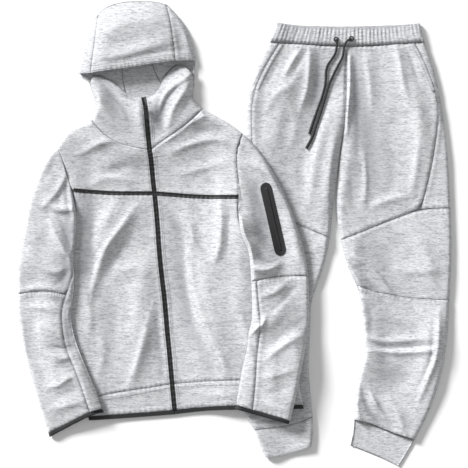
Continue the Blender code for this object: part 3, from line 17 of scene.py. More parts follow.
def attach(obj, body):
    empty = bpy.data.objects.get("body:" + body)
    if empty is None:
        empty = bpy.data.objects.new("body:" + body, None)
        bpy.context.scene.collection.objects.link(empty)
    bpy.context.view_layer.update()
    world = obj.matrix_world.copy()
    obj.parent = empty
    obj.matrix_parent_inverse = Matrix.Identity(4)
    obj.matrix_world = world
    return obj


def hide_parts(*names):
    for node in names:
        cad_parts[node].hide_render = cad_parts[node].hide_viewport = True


PLAN_UNIT = 0.0023
PLAN_CENTRE = (234.144, 233.916)
VIEW_CENTRE = (234.0, 234.0)
VIEW_WIDTH = 468 * PLAN_UNIT

# Camera
LENS = 200.0
SENSOR = 36.0
FOCUS_LEVEL = 0.010

# Cloth and tapes
FLEECE_THICKNESS = 0.0018
TAPE_THICKNESS = 0.0008
WELT_THICKNESS = 0.0012
POCKET_THICKNESS = 0.0012
POCKET_ZIP_THICKNESS = 0.0014
CHAIN_THICKNESS = 0.0011
TAPE_SPACING = 0.003
CHEST_TAPE_REACH = 0.0085
END_LENGTH = 0.030
FLOOR_CLEARANCE = 0.00005

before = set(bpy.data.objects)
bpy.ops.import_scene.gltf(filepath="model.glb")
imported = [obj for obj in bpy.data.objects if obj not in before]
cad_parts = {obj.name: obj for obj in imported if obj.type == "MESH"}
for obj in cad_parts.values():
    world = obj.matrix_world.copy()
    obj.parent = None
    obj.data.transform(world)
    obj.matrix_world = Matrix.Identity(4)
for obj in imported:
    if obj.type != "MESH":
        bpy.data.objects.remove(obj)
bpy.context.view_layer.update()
bpy.ops.object.select_all(action="DESELECT")


def place(points):
    """Plan units to metres."""
    flat = np.asarray(points, dtype=float).reshape(-1, 2)
    return np.stack([(flat[:, 0] - PLAN_CENTRE[0]) * PLAN_UNIT,
                     (PLAN_CENTRE[1] - flat[:, 1]) * PLAN_UNIT], axis=1)


# Camera and light

def add_camera():
    x, y = place([VIEW_CENTRE])[0]
    height = VIEW_WIDTH * LENS / SENSOR + FOCUS_LEVEL
    bpy.ops.object.camera_add(location=(x, y, height), rotation=(0, 0, 0))
    camera = bpy.context.object
    camera.data.lens = LENS
    camera.data.sensor_width = SENSOR
    camera.data.clip_end = 100
    bpy.context.scene.camera = camera


def add_light(name, place_at, softness, power):
    """A broad even light from far off. The softness is the angle that it spans, in degrees."""
    bpy.ops.object.light_add(type="SUN", location=place_at)
    light = bpy.context.object
    light.name = name
    light.data.angle = math.radians(softness)
    light.data.energy = power
    light.rotation_mode = "QUATERNION"
    light.rotation_quaternion = (-Vector(place_at)).to_track_quat("-Z", "Y")


def add_studio():
    scene = bpy.context.scene
    scene.view_settings.view_transform = "Standard"
    world = bpy.data.worlds.new("studio")
    world.use_nodes = True
    world.node_tree.nodes["Background"].inputs["Color"].default_value = (1.0, 1.0, 1.0, 1)
    world.node_tree.nodes["Background"].inputs["Strength"].default_value = 0.33
    scene.world = world
    add_light("window", (-2.3, 2.0, 1.45), 18, 5.9)
    add_light("fill", (0.6, -0.4, 2.6), 60, 0.35)
    bpy.ops.mesh.primitive_plane_add(size=12, location=(0, 0, -0.0004))
    floor = bpy.context.object
    floor.name = "floor"
    floor.data.materials.append(paint("floor_white", (0.93, 0.93, 0.93), 0.9))


# Materials

def new_material(name, roughness):
    made = bpy.data.materials.new(name)
    made.use_nodes = True
    tree = made.node_tree
    shader = tree.nodes["Principled BSDF"]
    shader.inputs["Roughness"].default_value = roughness
    return made, tree, shader


def paint(name, colour, roughness):
    made, _, shader = new_material(name, roughness)
    shader.inputs["Base Color"].default_value = (*colour, 1)
    return made


def node(tree, kind, **values):
    made = tree.nodes.new(kind)
    for key, value in values.items():
        if key in made.inputs:
            made.inputs[key].default_value = value
        else:
            setattr(made, key, value)
    return made


def noise(tree, vector, scale, detail=2.0, roughness=0.5):
    made = node(tree, "ShaderNodeTexNoise", Scale=scale, Detail=detail, Roughness=roughness)
    tree.links.new(vector, made.inputs["Vector"])
    return made.outputs["Fac"]


def ramp(tree, value, stops):
    made = node(tree, "ShaderNodeValToRGB")
    tree.links.new(value, made.inputs["Fac"])
    points = made.color_ramp.elements
    while len(points) < len(stops):
        points.new(0.5)
    for point, (position, colour) in zip(points, stops):
        point.position = position
        point.color = (*colour, 1)
    return made.outputs["Color"]


def mix(tree, share, first, second, blend="MIX"):
    made = node(tree, "ShaderNodeMix", data_type="RGBA", blend_type=blend)
    for socket, value in ((made.inputs[0], share), (made.inputs[6], first), (made.inputs[7], second)):
        if isinstance(value, bpy.types.NodeSocket):
            tree.links.new(value, socket)
        else:
            socket.default_value = value if isinstance(value, float) else (*value, 1)
    return made.outputs[2]


def add_bump(tree, shader, heights):
    """Bumps from (value, distance) pairs, one on top of the other."""
    normal = None
    for value, distance in heights:
        bump = node(tree, "ShaderNodeBump", Distance=distance, Strength=1.0)
        tree.links.new(value, bump.inputs["Height"])
        if normal:
            tree.links.new(normal, bump.inputs["Normal"])
        normal = bump.outputs["Normal"]
    tree.links.new(normal, shader.inputs["Normal"])


def grain(tree, turn, stretch):
    """Object coordinates turned to the way of the knit and stretched along it."""
    place_at = node(tree, "ShaderNodeTexCoord").outputs["Object"]
    mapping = node(tree, "ShaderNodeMapping")
    mapping.inputs["Rotation"].default_value = (0, 0, math.radians(turn))
    mapping.inputs["Scale"].default_value = stretch
    tree.links.new(place_at, mapping.inputs["Vector"])
    return mapping.outputs["Vector"]


# Noise scales of the fleece, along the knit, across it and through it
STREAKS = (52, 330, 52)
YARNS = (130, 620, 130)
CLOUDS = (14, 60, 14)
PILE = (420, 760, 420)
FUZZ = (1500, 1500, 1500)

PALE_YARN = (0.72, 0.725, 0.735)
PALE_FUZZ = (0.70, 0.705, 0.72)
CLOUD_GREY = (0.44, 0.46, 0.50)
# Painted shade in the hollows of the folds
FOLD_SHADE_GREY = (0.20, 0.205, 0.222)
# Painted shade in the grooves of the seams
SEAM_SHADE_GREY = (0.16, 0.165, 0.18)


def marled_fleece(name, turn, light=(0.61, 0.615, 0.628), dark=(0.13, 0.14, 0.165)):
    """Brushed jersey of pale grey yarn with darker fibres that run in short streaks across it. Painted
    shade darkens it in the hollows of the folds and along the grooves of the seams.
    """
    made, tree, shader = new_material(name, 0.94)
    shader.inputs["Sheen Weight"].default_value = 0.12
    shader.inputs["Sheen Roughness"].default_value = 0.5
    shader.inputs["Specular IOR Level"].default_value = 0.15
    streaks = noise(tree, grain(tree, turn, STREAKS), 1.0, 4.0, 0.72)
    yarns = noise(tree, grain(tree, turn, YARNS), 1.0, 2.0, 0.65)
    clouds = noise(tree, grain(tree, turn, CLOUDS), 1.0, 2.0, 0.5)
    fuzz = noise(tree, grain(tree, turn, FUZZ), 1.0, 2.0, 0.6)
    base = ramp(tree, streaks, ((0.37, dark), (0.53, light)))
    yarn = mix(tree, 0.42, base, ramp(tree, yarns, ((0.38, dark), (0.54, PALE_YARN))))
    tinted = mix(tree, 0.16, yarn, ramp(tree, clouds, ((0.3, CLOUD_GREY), (0.62, light))))
    fuzzy = mix(tree, 0.18, tinted, ramp(tree, fuzz, ((0.25, dark), (0.65, PALE_FUZZ))))
    # Painted shade: the cloth is mixed towards dark grey in the hollows of the folds, more the deeper they
    # are.
    fold_shading = node(tree, "ShaderNodeAttribute", attribute_name="fold_shade")
    fold_shaded = mix(tree, fold_shading.outputs["Fac"], fuzzy, FOLD_SHADE_GREY)
    # Painted shade along the grooves of the seams, darkest at the seam itself.
    seam_shading = node(tree, "ShaderNodeAttribute", attribute_name="seam_shade")
    shaded = mix(tree, seam_shading.outputs["Fac"], fold_shaded, SEAM_SHADE_GREY)
    tree.links.new(shaded, shader.inputs["Base Color"])
    pile = noise(tree, grain(tree, turn, PILE), 1.0, 3.0, 0.6)
    add_bump(tree, shader, ((streaks, 0.0006), (pile, 0.0005), (fuzz, 0.00018)))
    return made


def bonded_tape(name, turn=0.0):
    """Matt black bonded tape with a fine woven face."""
    made, tree, shader = new_material(name, 0.62)
    shader.inputs["Specular IOR Level"].default_value = 0.35
    threads = noise(tree, grain(tree, turn, (900, 2400, 900)), 1.0, 2.0, 0.5)
    tree.links.new(ramp(tree, threads, ((0.3, (0.008, 0.008, 0.009)), (0.7, (0.026, 0.026, 0.028)))),
                   shader.inputs["Base Color"])
    add_bump(tree, shader, ((threads, 0.00012),))
    return made


def braided_cord(name):
    """Black braid whose strands cross round the cord."""
    made, tree, shader = new_material(name, 0.75)
    place_at = grain(tree, 20.0, (900, 900, 900))
    strands = noise(tree, place_at, 1.0, 1.0, 0.4)
    tree.links.new(ramp(tree, strands, ((0.35, (0.006, 0.006, 0.007)), (0.7, (0.030, 0.030, 0.032)))),
                   shader.inputs["Base Color"])
    add_bump(tree, shader, ((strands, 0.0004),))
    return made


def dark_metal(name):
    made, tree, shader = new_material(name, 0.34)
    shader.inputs["Metallic"].default_value = 0.6
    wear = noise(tree, grain(tree, 0, (260, 260, 260)), 1.0, 3.0, 0.6)
    tree.links.new(ramp(tree, wear, ((0.3, (0.016, 0.016, 0.018)), (0.75, (0.05, 0.05, 0.053)))),
                   shader.inputs["Base Color"])
    add_bump(tree, shader, ((wear, 0.00004),))
    return made


CREST_LIFT = 2.1            # how much taller the crests are made than the table says
FLANK_FALL = 1.3            # how steeply a flank falls within its width
CREASE_MARGIN = 0.04        # how far beyond its crest a fold is felt

# Folds that the cloth takes when it is laid out: height and the widths of the left and right flanks in
# mm, then the plan points of the crest. A negative height is a hollow.
JACKET_CREASES = (
    (-5.4, 15, 17, (86, 160), (89, 190), (91, 225), (93, 262), (96, 296)),
    (-3.4, 14, 16, (176, 200), (180, 250), (186, 300), (194, 350)),
    (-3.0, 16, 18, (108, 290), (112, 326), (112, 366)),
    (-2.8, 12, 14, (196, 206), (202, 236), (212, 262)),
    (4.0, 26, 16, (118, 200), (104, 226), (96, 250)),
    (4.4, 30, 22, (146, 262), (140, 300), (136, 350)),
    (3.6, 22, 18, (244, 206), (240, 250), (246, 300)),
    (3.2, 24, 20, (196, 226), (206, 300), (232, 360)),
    (3.4, 26, 18, (96, 170), (118, 160), (146, 158)),
    (3.4, 24, 16, (184, 118), (206, 124), (232, 146)),
    (3.4, 9, 7, (80, 154), (100, 144), (124, 138), (136, 140)),
    (-2.4, 10, 10, (92, 166), (108, 172), (124, 168)),
    (1.8, 10, 9, (88, 186), (110, 178), (136, 182)),
    (2.6, 8, 6, (166, 142), (182, 128), (200, 118), (214, 113)),
    (3.0, 8, 6, (174, 152), (196, 143), (216, 140), (228, 146)),
    (-2.4, 8, 8, (196, 132), (212, 130), (226, 136)),
    (2.2, 10, 8, (178, 176), (204, 168), (232, 162)),
    (4.6, 12, 7, (134, 208), (122, 226), (107, 246), (98, 268), (92, 292)),
    (-3.0, 8, 9, (134, 232), (116, 258), (104, 280), (94, 306)),
    (2.4, 14, 12, (120, 272), (138, 268), (150, 276)),
    (-2.0, 9, 9, (124, 292), (130, 308), (126, 322)),
    (3.8, 14, 8, (150, 312), (144, 340), (136, 366), (129, 386)),
    (-2.2, 6, 7, (157, 306), (160, 340), (163, 378)),
    (-2.6, 9, 9, (92, 222), (90, 246), (84, 276)),
    (1.8, 10, 10, (100, 330), (104, 352), (98, 378)),
    (-3.2, 7, 7, (169, 216), (174, 226), (177, 236)),
    (2.6, 8, 7, (178, 214), (190, 226), (194, 244)),
    (-3.4, 9, 11, (178, 252), (182, 286), (190, 318), (204, 352), (214, 376)),
    (3.0, 9, 8, (190, 246), (193, 282), (203, 318), (220, 352), (226, 374)),
    (-3.2, 7, 9, (199, 244), (209, 258), (220, 274), (232, 288)),
    (4.6, 9, 7, (220, 196), (221, 220), (219, 248), (214, 262)),
    (-2.4, 6, 6, (230, 204), (229, 230), (228, 252)),
    (2.4, 12, 10, (234, 296), (246, 330), (252, 366)),
    (1.6, 9, 9, (84, 290), (90, 312), (90, 336)),
    (-1.4, 8, 8, (110, 398), (124, 402), (138, 398)),
    (1.4, 9, 8, (196, 392), (216, 396), (240, 392)),
)
SLEEVE_CREASES = (
    (-5.2, 12, 12, (66, 176), (67, 206), (68, 240), (66, 276), (64, 310), (68, 350), (76, 384)),
    (-4.6, 12, 14, (288, 178), (294, 206), (300, 240), (304, 268)),
    (-4.2, 12, 12, (254, 178), (258, 214), (264, 246)),
    (3.6, 22, 22, (44, 214), (34, 244), (30, 280)),
    (3.6, 20, 18, (46, 320), (50, 350), (60, 384)),
    (3.0, 16, 16, (290, 196), (298, 228), (300, 256)),
    (3.2, 18, 18, (284, 296), (276, 316), (262, 330)),
    (3.2, 18, 18, (274, 356), (272, 380), (270, 404)),
    (3.2, 9, 6, (42, 208), (54, 196), (64, 180), (66, 164)),
    (-2.2, 8, 8, (44, 180), (52, 166), (56, 150)),
    (4.6, 8, 4, (46, 204), (57, 210), (66, 210), (74, 209)),
    (-6.0, 5, 5, (59, 218), (64, 228), (69, 240), (72, 250)),
    (-3.0, 6, 6, (60, 217), (66, 215), (74, 217)),
    (3.6, 7, 5, (50, 222), (57, 236), (66, 252), (72, 262)),
    (-2.4, 8, 8, (44, 240), (52, 254), (60, 266)),
    (2.4, 8, 7, (30, 254), (44, 268), (56, 272), (66, 268)),
    (-4.0, 6, 6, (54, 286), (62, 280), (70, 270)),
    (2.6, 8, 5, (22, 292), (40, 288), (56, 290)),
    (-5.0, 4, 5, (50, 298), (56, 300), (64, 303), (72, 303)),
    (3.0, 6, 7, (28, 306), (44, 308), (58, 312)),
    (-2.0, 9, 9, (26, 326), (27, 346), (31, 366)),
    (2.6, 10, 8, (40, 318), (42, 338), (46, 354)),
    (-4.4, 4, 5, (51, 346), (60, 348), (70, 347), (77, 348)),
    (3.0, 6, 7, (50, 354), (60, 358), (72, 357)),
    (-2.2, 7, 7, (56, 366), (66, 368), (76, 372)),
    (3.2, 8, 6, (48, 388), (60, 384), (72, 376)),
    (-2.0, 7, 7, (56, 398), (70, 392), (82, 384)),
    (2.2, 9, 7, (50, 410), (66, 406), (84, 400)),
    (-1.8, 9, 9, (34, 384), (42, 400), (50, 418)),
    (4.6, 8, 5, (238, 200), (240, 220), (243, 238), (250, 250), (250, 262)),
    (-5.0, 7, 7, (250, 230), (260, 236), (268, 244)),
    (-4.4, 8, 7, (256, 250), (264, 260), (274, 262)),
    (4.4, 6, 5, (249, 267), (260, 270), (270, 269), (280, 264)),
    (3.0, 9, 7, (286, 218), (294, 238), (300, 262)),
    (-2.6, 8, 8, (254, 184), (260, 204), (268, 226)),
    (3.2, 9, 6, (248, 164), (258, 168), (270, 176), (280, 190)),
    (-2.4, 7, 7, (246, 172), (250, 186), (254, 200)),
    (-3.4, 7, 8, (296, 286), (284, 300), (270, 312)),
    (3.4, 9, 7, (262, 296), (274, 292), (286, 284)),
    (-3.2, 8, 8, (306, 318), (288, 330), (266, 348)),
    (3.4, 8, 7, (302, 334), (284, 344), (266, 358)),
    (3.8, 6, 5, (247, 338), (254, 330), (262, 324), (266, 316)),
    (-3.2, 5, 6, (248, 344), (254, 350), (256, 360)),
    (2.2, 9, 8, (262, 378), (278, 374), (296, 368)),
    (-1.8, 8, 8, (262, 392), (278, 390), (292, 386)),
    (2.0, 8, 7, (258, 402), (274, 406), (288, 412)),
    (2.0, 7, 7, (243, 356), (240, 376), (238, 396)),
)
JOGGER_CREASES = (
    (-5.0, 24, 24, (360, 60), (363, 100), (368, 140), (372, 176), (378, 196)),
    (-3.2, 18, 18, (322, 60), (318, 96), (316, 130)),
    (-3.4, 16, 18, (376, 236), (384, 262), (392, 284)),
    (-3.2, 18, 18, (384, 316), (384, 352), (388, 392)),
    (4.6, 22, 30, (404, 60), (416, 96), (424, 150), (420, 196)),
    (4.4, 22, 26, (300, 62), (284, 100), (274, 150)),
    (3.8, 16, 14, (341, 100), (338, 130), (330, 170), (322, 214)),
    (4.0, 18, 26, (416, 232), (428, 262), (434, 292)),
    (3.6, 18, 18, (356, 236), (354, 254), (358, 268)),
    (3.6, 16, 20, (432, 312), (430, 346), (416, 392)),
    (3.0, 18, 18, (270, 352), (272, 380), (268, 408)),
    (3.8, 6, 4, (350, 56), (350, 84), (348, 112), (347, 132)),
    (-4.2, 5, 7, (356, 58), (357, 88), (358, 118), (358, 156)),
    (-2.0, 5, 5, (346, 52), (346, 80), (345, 108)),
    (3.6, 9, 6, (310, 48), (309, 66), (307, 88), (300, 110)),
    (-3.4, 6, 7, (319, 50), (319, 70), (316, 92), (312, 108)),
    (3.0, 7, 5, (301, 48), (293, 60), (284, 76)),
    (-2.4, 6, 6, (306, 52), (298, 66), (290, 80)),
    (-2.0, 7, 7, (280, 60), (272, 76), (262, 92)),
    (2.4, 10, 8, (292, 84), (276, 94), (266, 112)),
    (-1.8, 9, 9, (264, 100), (262, 118), (262, 140)),
    (2.4, 14, 12, (288, 100), (296, 124), (290, 150)),
    (3.0, 14, 10, (332, 108), (322, 134), (314, 168), (310, 200)),
    (-2.4, 10, 10, (306, 148), (300, 172), (304, 200)),
    (3.4, 9, 6, (396, 46), (400, 66), (404, 88), (410, 108)),
    (-3.6, 5, 6, (406, 46), (411, 58), (416, 72), (420, 84)),
    (-2.2, 12, 12, (376, 50), (378, 80), (382, 116)),
    (2.2, 8, 8, (366, 56), (370, 84), (372, 112)),
    (2.6, 14, 12, (412, 92), (418, 116), (418, 140)),
    (2.6, 7, 7, (363, 150), (366, 176), (364, 206)),
    (-2.6, 14, 14, (388, 142), (392, 168), (390, 192)),
    (2.6, 9, 7, (418, 140), (416, 166), (412, 192)),
    (-2.0, 8, 8, (352, 168), (352, 190), (354, 214)),
    (2.2, 8, 8, (372, 206), (390, 200), (408, 196)),
    (-4.6, 4, 5, (350, 265), (361, 273), (372, 285), (385, 301)),
    (3.8, 6, 5, (354, 256), (366, 264), (380, 278), (394, 296)),
    (3.2, 5, 5, (350, 272), (358, 281), (366, 288)),
    (-2.0, 12, 12, (390, 234), (408, 246), (424, 254)),
    (2.2, 12, 10, (396, 270), (418, 272), (440, 270)),
    (-3.4, 8, 9, (368, 304), (371, 320), (370, 338)),
    (-2.6, 9, 9, (384, 322), (402, 328), (424, 330)),
    (2.6, 8, 5, (368, 336), (380, 341), (400, 341), (430, 339)),
    (-4.2, 3, 4, (366, 340), (383, 346), (404, 347), (434, 345)),
    (4.0, 5, 7, (372, 350), (392, 352), (414, 352), (434, 350)),
    (-2.8, 14, 14, (378, 376), (398, 378), (416, 374)),
    (4.0, 8, 6, (439, 310), (438, 340), (436, 356), (428, 378), (419, 400)),
    (-3.0, 4, 5, (433, 318), (432, 344), (430, 362), (420, 384)),
    (-4.4, 5, 5, (361, 384), (365, 400), (372, 414), (384, 430)),
    (3.6, 5, 5, (370, 392), (378, 408), (388, 424)),
    (-4.0, 4, 5, (377, 408), (384, 420), (393, 432)),
    (3.0, 8, 8, (388, 400), (398, 414), (404, 430)),
    (2.0, 7, 7, (355, 392), (357, 408), (362, 424)),
    (-2.4, 6, 6, (260, 424), (272, 420), (286, 424)),
    (2.2, 7, 7, (256, 414), (270, 410), (284, 414)),
    (2.0, 8, 7, (318, 226), (324, 236), (326, 248)),
)
HOOD_CREASES = (
    (2.6, 24, 20, (104, 28), (104, 44), (98, 60)),
    (2.2, 14, 12, (100, 34), (126, 24), (152, 22)),
    (-1.8, 12, 12, (104, 46), (130, 42), (156, 34)),
    (2.6, 12, 8, (96, 60), (124, 56), (150, 48), (168, 44)),
    (-1.8, 6, 6, (98, 64), (130, 60), (160, 53), (184, 50)),
    (2.4, 8, 7, (178, 22), (186, 36), (190, 52)),
    (-2.2, 7, 7, (174, 26), (179, 40), (182, 54)),
    (2.0, 7, 6, (84, 44), (82, 56), (80, 68)),
)
COLLAR_CREASES = (
    (-4.6, 12, 12, (106, 88), (112, 104), (120, 120)),
    (-4.4, 9, 10, (164, 92), (162, 108), (162, 126)),
    (4.0, 6, 4, (92, 77), (104, 80), (114, 86), (124, 93), (136, 97)),
    (-5.0, 4, 6, (98, 82), (106, 88), (116, 100), (126, 112), (130, 126)),
    (3.0, 8, 7, (94, 92), (102, 106), (112, 120)),
    (-2.4, 8, 8, (98, 112), (108, 124), (124, 134)),
    (4.2, 6, 4, (194, 72), (184, 80), (172, 88), (164, 96), (160, 108)),
    (-5.4, 5, 6, (192, 76), (178, 86), (168, 98), (162, 114), (160, 132)),
    (3.2, 7, 6, (190, 84), (180, 98), (172, 112), (168, 128)),
    (-2.4, 6, 6, (194, 92), (186, 106), (178, 120)),
    (-2.8, 5, 5, (158, 100), (157, 118), (156, 138)),
    (2.4, 5, 5, (138, 100), (140, 118), (144, 138)),
)


def crease_height(points, creases):
    """How far the folds lift each point: each has a crest with a flank on both sides."""
    height = np.zeros(len(points))
    low, high = points.min(axis=0) - CREASE_MARGIN, points.max(axis=0) + CREASE_MARGIN
    for rise, left, right, *crest in creases:
        line = smooth(place(crest), 5)
        if (line.max(axis=0) < low).any() or (line.min(axis=0) > high).any():
            continue
        runs = np.concatenate([[0.0], np.cumsum(np.linalg.norm(np.diff(line, axis=0), axis=1))])
        nearest = np.full(len(points), np.inf)
        offset, station = np.zeros(len(points)), np.zeros(len(points))
        for start, end, run in zip(line, line[1:], runs):
            step = end - start
            length = np.linalg.norm(step)
            share = np.clip((points - start) @ step / length ** 2, 0, 1)
            away = points - start - share[:, None] * step
            gap = np.linalg.norm(away, axis=1)
            closer = gap < nearest
            nearest = np.where(closer, gap, nearest)
            turn = step[0] * away[:, 1] - step[1] * away[:, 0]
            offset = np.where(closer, gap * np.where(turn < 0, -1, 1), offset)
            station = np.where(closer, (run + share * length) / runs[-1], station)
        width = np.where(offset > 0, left, right) / 1000
        fade = np.sin(math.pi * np.clip(station * 0.9 + 0.05, 0, 1)) ** 0.6
        tall = (CREST_LIFT if rise > 0 else 1.0) * rise / 1000
        height += tall * fade / np.cosh(np.clip(FLANK_FALL * np.abs(offset) / width, 0, 20))
    return height


def soft_noise(points, size, seed):
    """Smooth waves in several directions, between -1 and 1."""
    turns = np.random.default_rng(seed).uniform(0, 2 * math.pi, (7, 3))
    total = np.zeros(len(points))
    for number, (way, phase, other) in enumerate(turns):
        wave = 2 * math.pi / (size * (0.7 + 0.13 * number))
        total += np.sin(wave * (points[:, 0] * math.cos(way) + points[:, 1] * math.sin(way)) + phase
                        + 1.3 * np.sin(0.4 * wave * (points[:, 1] * math.cos(way) - points[:, 0]) + other))
    return total / 7


# Cloth

SHARPEST_BEND = math.radians(66)        # between two faces of the same side of a wall
FURTHEST_TURN = -0.45                   # how far the outer side may turn away, as its normal's height
LEAST_GATHER_SLOPE = 0.12               # the same for a gathered piece
FINE_FACES = 3000                       # above this count the inner side is thinned
KEPT_SHARE = 0.62

FREE_SINK = 0.0012                      # how far cloth with nothing below it can sink
LAYER_CLEARANCE = 0.0004
LEAST_SINK = 0.0002
FULL_FOLD_SHADE_DEPTH = 0.0065                  # hollow at which the painted shade of a fold is at its darkest

SEAM_HALF_WIDTH = 0.0026                # the groove of a seam, and the ridges beside it
RIDGE_AWAY = 0.0075
RIDGE_HALF_WIDTH = 0.0045
RIDGE_SHARE = 0.45
PUCKER_LENGTH = 0.0125                  # puckers along a seam
PUCKER_DRIFT = 0.021
PUCKER_REACH = 0.0085
# half width of the shade painted along a seam's groove
SHADE_HALF_WIDTH = 0.0016


def outer_shape(name, gathered=False, up=True, all_round=False):
    """The outer side of a node's wall as an open surface. That of a ring goes all round."""
    shape = bmesh.new()
    shape.from_mesh(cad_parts[name].data)
    bmesh.ops.remove_doubles(shape, verts=shape.verts, dist=0.00002)
    shape.normal_update()
    way = 1 if up else -1
    if gathered:
        kept = {face for face in shape.faces if face.normal.z * way > LEAST_GATHER_SLOPE}
    else:
        first = max(shape.faces, key=lambda face: face.normal.z * way * face.calc_area())
        kept, border = {first}, [first]
        while border:
            face = border.pop()
            for edge in face.edges:
                for other in edge.link_faces:
                    turned = not all_round and other.normal.z * way < FURTHEST_TURN
                    if other in kept or turned or face.normal.angle(other.normal, 3.2) >= SHARPEST_BEND:
                        continue
                    kept.add(other)
                    border.append(other)
    bmesh.ops.delete(shape, geom=[face for face in shape.faces if face not in kept], context="FACES")
    bmesh.ops.join_triangles(shape, faces=shape.faces[:], angle_face_threshold=math.radians(80),
                             angle_shape_threshold=math.radians(150))
    return shape


def make_object(name, shape):
    mesh = bpy.data.meshes.new(name)
    shape.to_mesh(mesh)
    shape.free()
    made = bpy.data.objects.new(name, mesh)
    bpy.context.scene.collection.objects.link(made)
    return made


def apply_modifier(piece, kind, **values):
    modifier = piece.modifiers.new(kind.lower(), kind)
    for key, value in values.items():
        setattr(modifier, key, value)
    bpy.context.view_layer.objects.active = piece
    bpy.ops.object.modifier_apply(modifier=modifier.name)


def refine(piece, spacing, most=4):
    """Smooth, even subdivision down to about the given spacing. Corners stay where they are."""
    mesh = piece.data
    lengths = [(mesh.vertices[edge.vertices[0]].co - mesh.vertices[edge.vertices[1]].co).length
               for edge in mesh.edges]
    levels = min(most, max(1, math.ceil(math.log2(np.percentile(lengths, 70) / spacing))))
    apply_modifier(piece, "SUBSURF", levels=levels, render_levels=levels,
                   boundary_smooth="PRESERVE_CORNERS")


def coordinates(piece):
    values = np.empty(len(piece.data.vertices) * 3)
    piece.data.vertices.foreach_get("co", values)
    return values.reshape(-1, 3)


def set_coordinates(piece, points):
    piece.data.vertices.foreach_set("co", points.ravel())
    piece.data.update()


def vertex_normals(piece):
    return np.array([vertex.normal[:] for vertex in piece.data.vertices])


def seam_measures(piece):
    """For each vertex, the distance to the nearest seam and the run along that seam."""
    shape = bmesh.new()
    shape.from_mesh(piece.data)
    border = [edge for edge in shape.edges
              if len(edge.link_faces) == 1 and abs(edge.link_faces[0].normal.z) > 0.72]
    if not border:
        shape.free()
        count = len(piece.data.vertices)
        return np.full(count, 1.0), np.zeros(count)
    tree = KDTree(len(border))
    ways, runs = [], []
    for number, edge in enumerate(border):
        a, b = (vertex.co for vertex in edge.verts)
        tree.insert((a + b) / 2, number)
        step = (b - a).normalized()
        ways.append(step if step.x + 0.3 * step.y > 0 else -step)
        runs.append(((a + b) / 2).dot(ways[-1]))
    tree.balance()
    distance, along = [], []
    for vertex in shape.verts:
        spot, number, gap = tree.find(vertex.co)
        offset = vertex.co - spot
        run_by = offset.dot(ways[number])
        distance.append(math.sqrt(max(gap ** 2 - min(run_by ** 2, 4e-6), 0)))
        along.append(runs[number] + run_by)
    shape.free()
    return np.array(distance), np.array(along)


def work_seams(piece, depth, pucker, seed):
    """Sinks the cloth at its seams and puckers it beside them, and paints shade along the grooves of the
    seams.
    """
    distance, along = seam_measures(piece)
    points, normals = coordinates(piece), vertex_normals(piece)
    upright = np.clip(np.abs(normals[:, 2]), 0, 1) ** 2
    groove = np.exp(-(distance / SEAM_HALF_WIDTH) ** 2)
    ridge = np.exp(-((distance - RIDGE_AWAY) / RIDGE_HALF_WIDTH) ** 2)
    wave = np.sin(2 * math.pi * along / PUCKER_LENGTH + 1.8 * np.sin(along / PUCKER_DRIFT + seed))
    ripple = pucker * wave * np.exp(-distance / PUCKER_REACH)
    points[:, 2] += (depth * (RIDGE_SHARE * ridge - groove) + ripple) * upright
    set_coordinates(piece, points)
    # Painted shade along the groove, darkest at the seam.
    shade = piece.data.attributes.new("seam_shade", "FLOAT", "POINT")
    shade.data.foreach_set("value", 0.55 * np.exp(-(distance / SHADE_HALF_WIDTH) ** 2))


def room_below(points, lower_nodes):
    """How far each point of a piece can sink before its wall reaches the cloth below it."""
    if not lower_nodes:
        return np.full(len(points), FREE_SINK)
    vertices, faces = [], []
    for name in lower_nodes:
        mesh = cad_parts[name].data
        start = len(vertices)
        vertices.extend(vertex.co.copy() for vertex in mesh.vertices)
        faces.extend(tuple(number + start for number in face.vertices) for face in mesh.polygons)
    tree = BVHTree.FromPolygons(vertices, faces)
    room = np.empty(len(points))
    for number, (x, y, z) in enumerate(points):
        spot, _, _, _ = tree.ray_cast(Vector((x, y, z - 0.0005)), Vector((0, 0, -1)))
        room[number] = FREE_SINK if spot is None else z - FLEECE_THICKNESS - spot.z - LAYER_CLEARANCE
    return np.maximum(room, LEAST_SINK)


def settle(lift, room):
    """Limits how far hollows sink, softly, to the room below them."""
    return np.where(lift < 0, -room * (1 - np.exp(lift / room)), lift)


def paint_fold_shade(piece, lift):
    """Paints shade into the hollows of the folds: the deeper the hollow, the darker the cloth."""
    shade = piece.data.attributes.new("fold_shade", "FLOAT", "POINT")
    shade.data.foreach_set("value", np.clip(-lift / FULL_FOLD_SHADE_DEPTH, 0, 1) ** 0.9 * 0.62)


def add_wall(piece, thickness):
    """Gives the cloth its thickness. The inner side, which hardly shows, keeps fewer faces."""
    piece.vertex_groups.new(name="inner_side")
    apply_modifier(piece, "SOLIDIFY", thickness=thickness, offset=-1.0, use_rim=True,
                   shell_vertex_group="inner_side")
    if len(piece.data.polygons) > FINE_FACES:
        apply_modifier(piece, "DECIMATE", ratio=KEPT_SHARE, vertex_group="inner_side")
    piece.vertex_groups.clear()


def finish_cloth(piece, source, finish, thickness=FLEECE_THICKNESS):
    add_wall(piece, thickness)
    points = coordinates(piece)
    points[:, 2] = np.maximum(points[:, 2], FLOOR_CLEARANCE)
    set_coordinates(piece, points)
    piece.data.materials.clear()
    piece.data.materials.append(finish)
    piece.data.shade_smooth()
    piece.data.set_sharp_from_angle(angle=math.radians(55))
    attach(piece, "garments")
    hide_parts(source)


def declare_sheet(piece):
    """Reads the points of the piece and does nothing more with them."""
    points = coordinates(piece)


